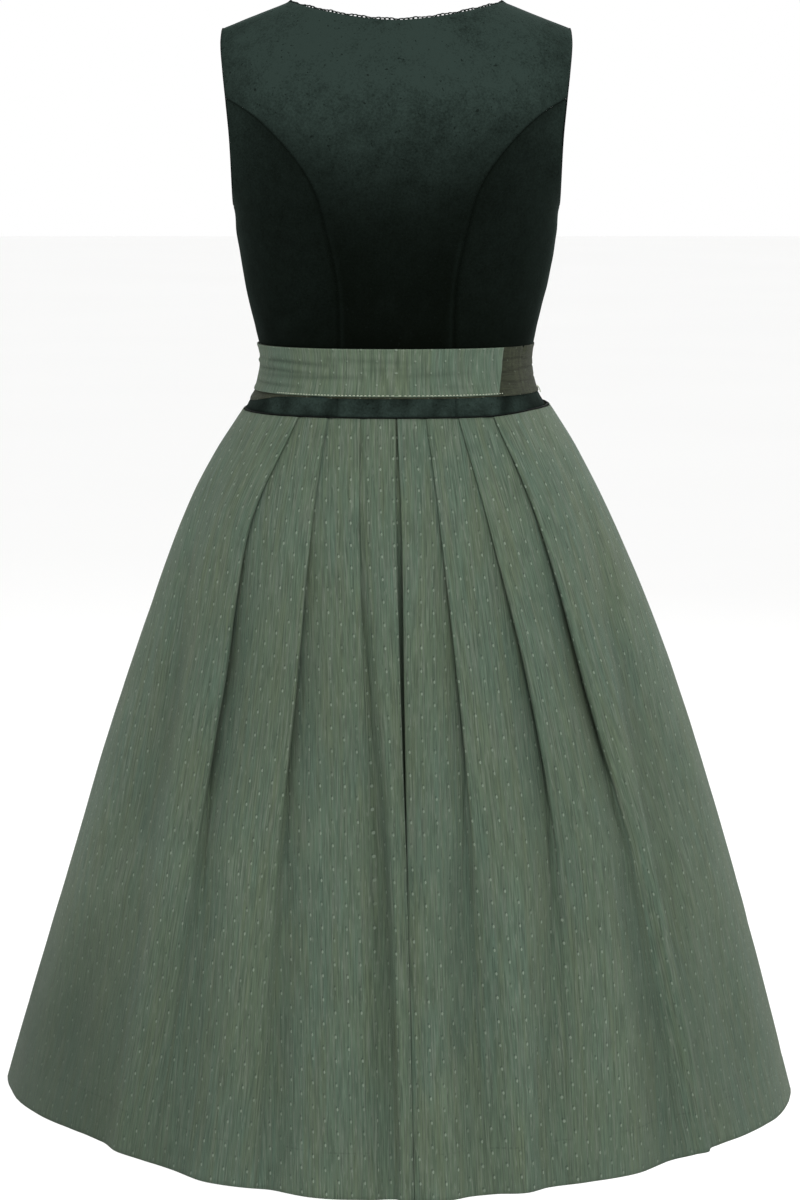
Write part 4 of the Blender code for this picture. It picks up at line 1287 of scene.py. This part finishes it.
def floor(level):
    """A plain pale floor, well below the hem, where a wearer's feet would stand."""
    bm = bmesh.new()
    bmesh.ops.create_grid(bm, x_segments=1, y_segments=1, size=30.0)
    bmesh.ops.translate(bm, verts=bm.verts[:], vec=(0.0, 0.0, level))
    mesh = mesh_of("floor", bm)
    finish = Finish("floor", 0.9, specular=0.1)
    shade = finish.mottle(finish.place(), 0.7)
    colour = finish.blend(shade, (0.94, 0.94, 0.935), (0.96, 0.96, 0.955))
    finish.tree.links.new(colour.socket, finish.shader.inputs["Base Color"])
    mesh.materials.append(finish.material)
    added("floor", mesh)


def softbox(name, place, aim, size, power):
    """A square area light turned towards a point."""
    light = bpy.data.lights.new(name, "AREA")
    light.size = size
    light.energy = power
    obj = added(name, light)
    obj.location = place
    obj.rotation_euler = (Vector(aim) - Vector(place)).to_track_quat("-Z", "Y").to_euler()


def camera():
    """A long lens behind the dress, looking a little down at it."""
    aim, distance, tilt = Vector((-0.00325, 0.0, -0.235)), 3.25, radians(8.13)
    data = bpy.data.cameras.new("camera")
    data.lens = 105.0
    data.sensor_width = 36.0
    obj = added("camera", data)
    obj.location = aim + distance * Vector((0.0, cos(tilt), sin(tilt)))
    obj.rotation_euler = (pi / 2 - tilt, 0.0, pi)
    bpy.context.scene.camera = obj


def studio():
    world = bpy.data.worlds.new("studio")
    bpy.context.scene.world = world
    world.use_nodes = True
    sky = world.node_tree.nodes["Background"]
    sky.inputs["Color"].default_value = (1.0, 1.0, 1.0, 1.0)
    sky.inputs["Strength"].default_value = 1.0
    bpy.context.scene.view_settings.view_transform = "Standard"
    softbox("key", (-1.0, 3.0, 2.6), (0.0, 0.0, -0.1), 1.6, 58.0)
    softbox("front_key", (-1.6, -3.0, 2.2), (0.0, 0.0, -0.1), 1.8, 50.0)
    floor(-1.05)
    camera()


def main():
    pile = velvet()
    green = skirt_cloth()
    cord = twisted_cord("piping", CORD_BLACK, CORD_GREY, 700.0, 0.72)
    hands = ((LEFT, "left"), (RIGHT, "right"))
    centre_panel("bodice_back", BACK, steps(-1.0, 1.0, BACK_COLUMNS), 0.0, 2 * SHOULDER_HALF, pile)
    for side, hand in hands:
        across = [side * share for share in steps(1e-6, 1.0, FRONT_COLUMNS)]
        centre_panel(f"bodice_front_{hand}", FRONT, across, FRONT_GAP, SHOULDER_HALF, pile)
    for face, word in ((BACK, "back"), (FRONT, "front")):
        for side, hand in hands:
            side_panel(f"bodice_side_{word}_{hand}", face, side, pile)
    neck_trim(twisted_cord("crochet_trim", TRIM_DEEP, TRIM_PALE, 900.0, 0.85))
    for side, hand in hands:
        armhole_piping(f"armhole_piping_{hand}", side, cord)
    waist_piping(cord)
    belt_under(belt_under_cloth())
    belt_over(belt_cloth())
    thread = twisted_cord("stitch_thread", STITCH_SHADE, STITCH_CREAM, 1500.0, 0.65)
    belt_stitches(thread)
    belt_thread(thread)
    skirt_half("skirt_back", BACK, green)
    skirt_half("skirt_front", FRONT, green)
    studio()


main()
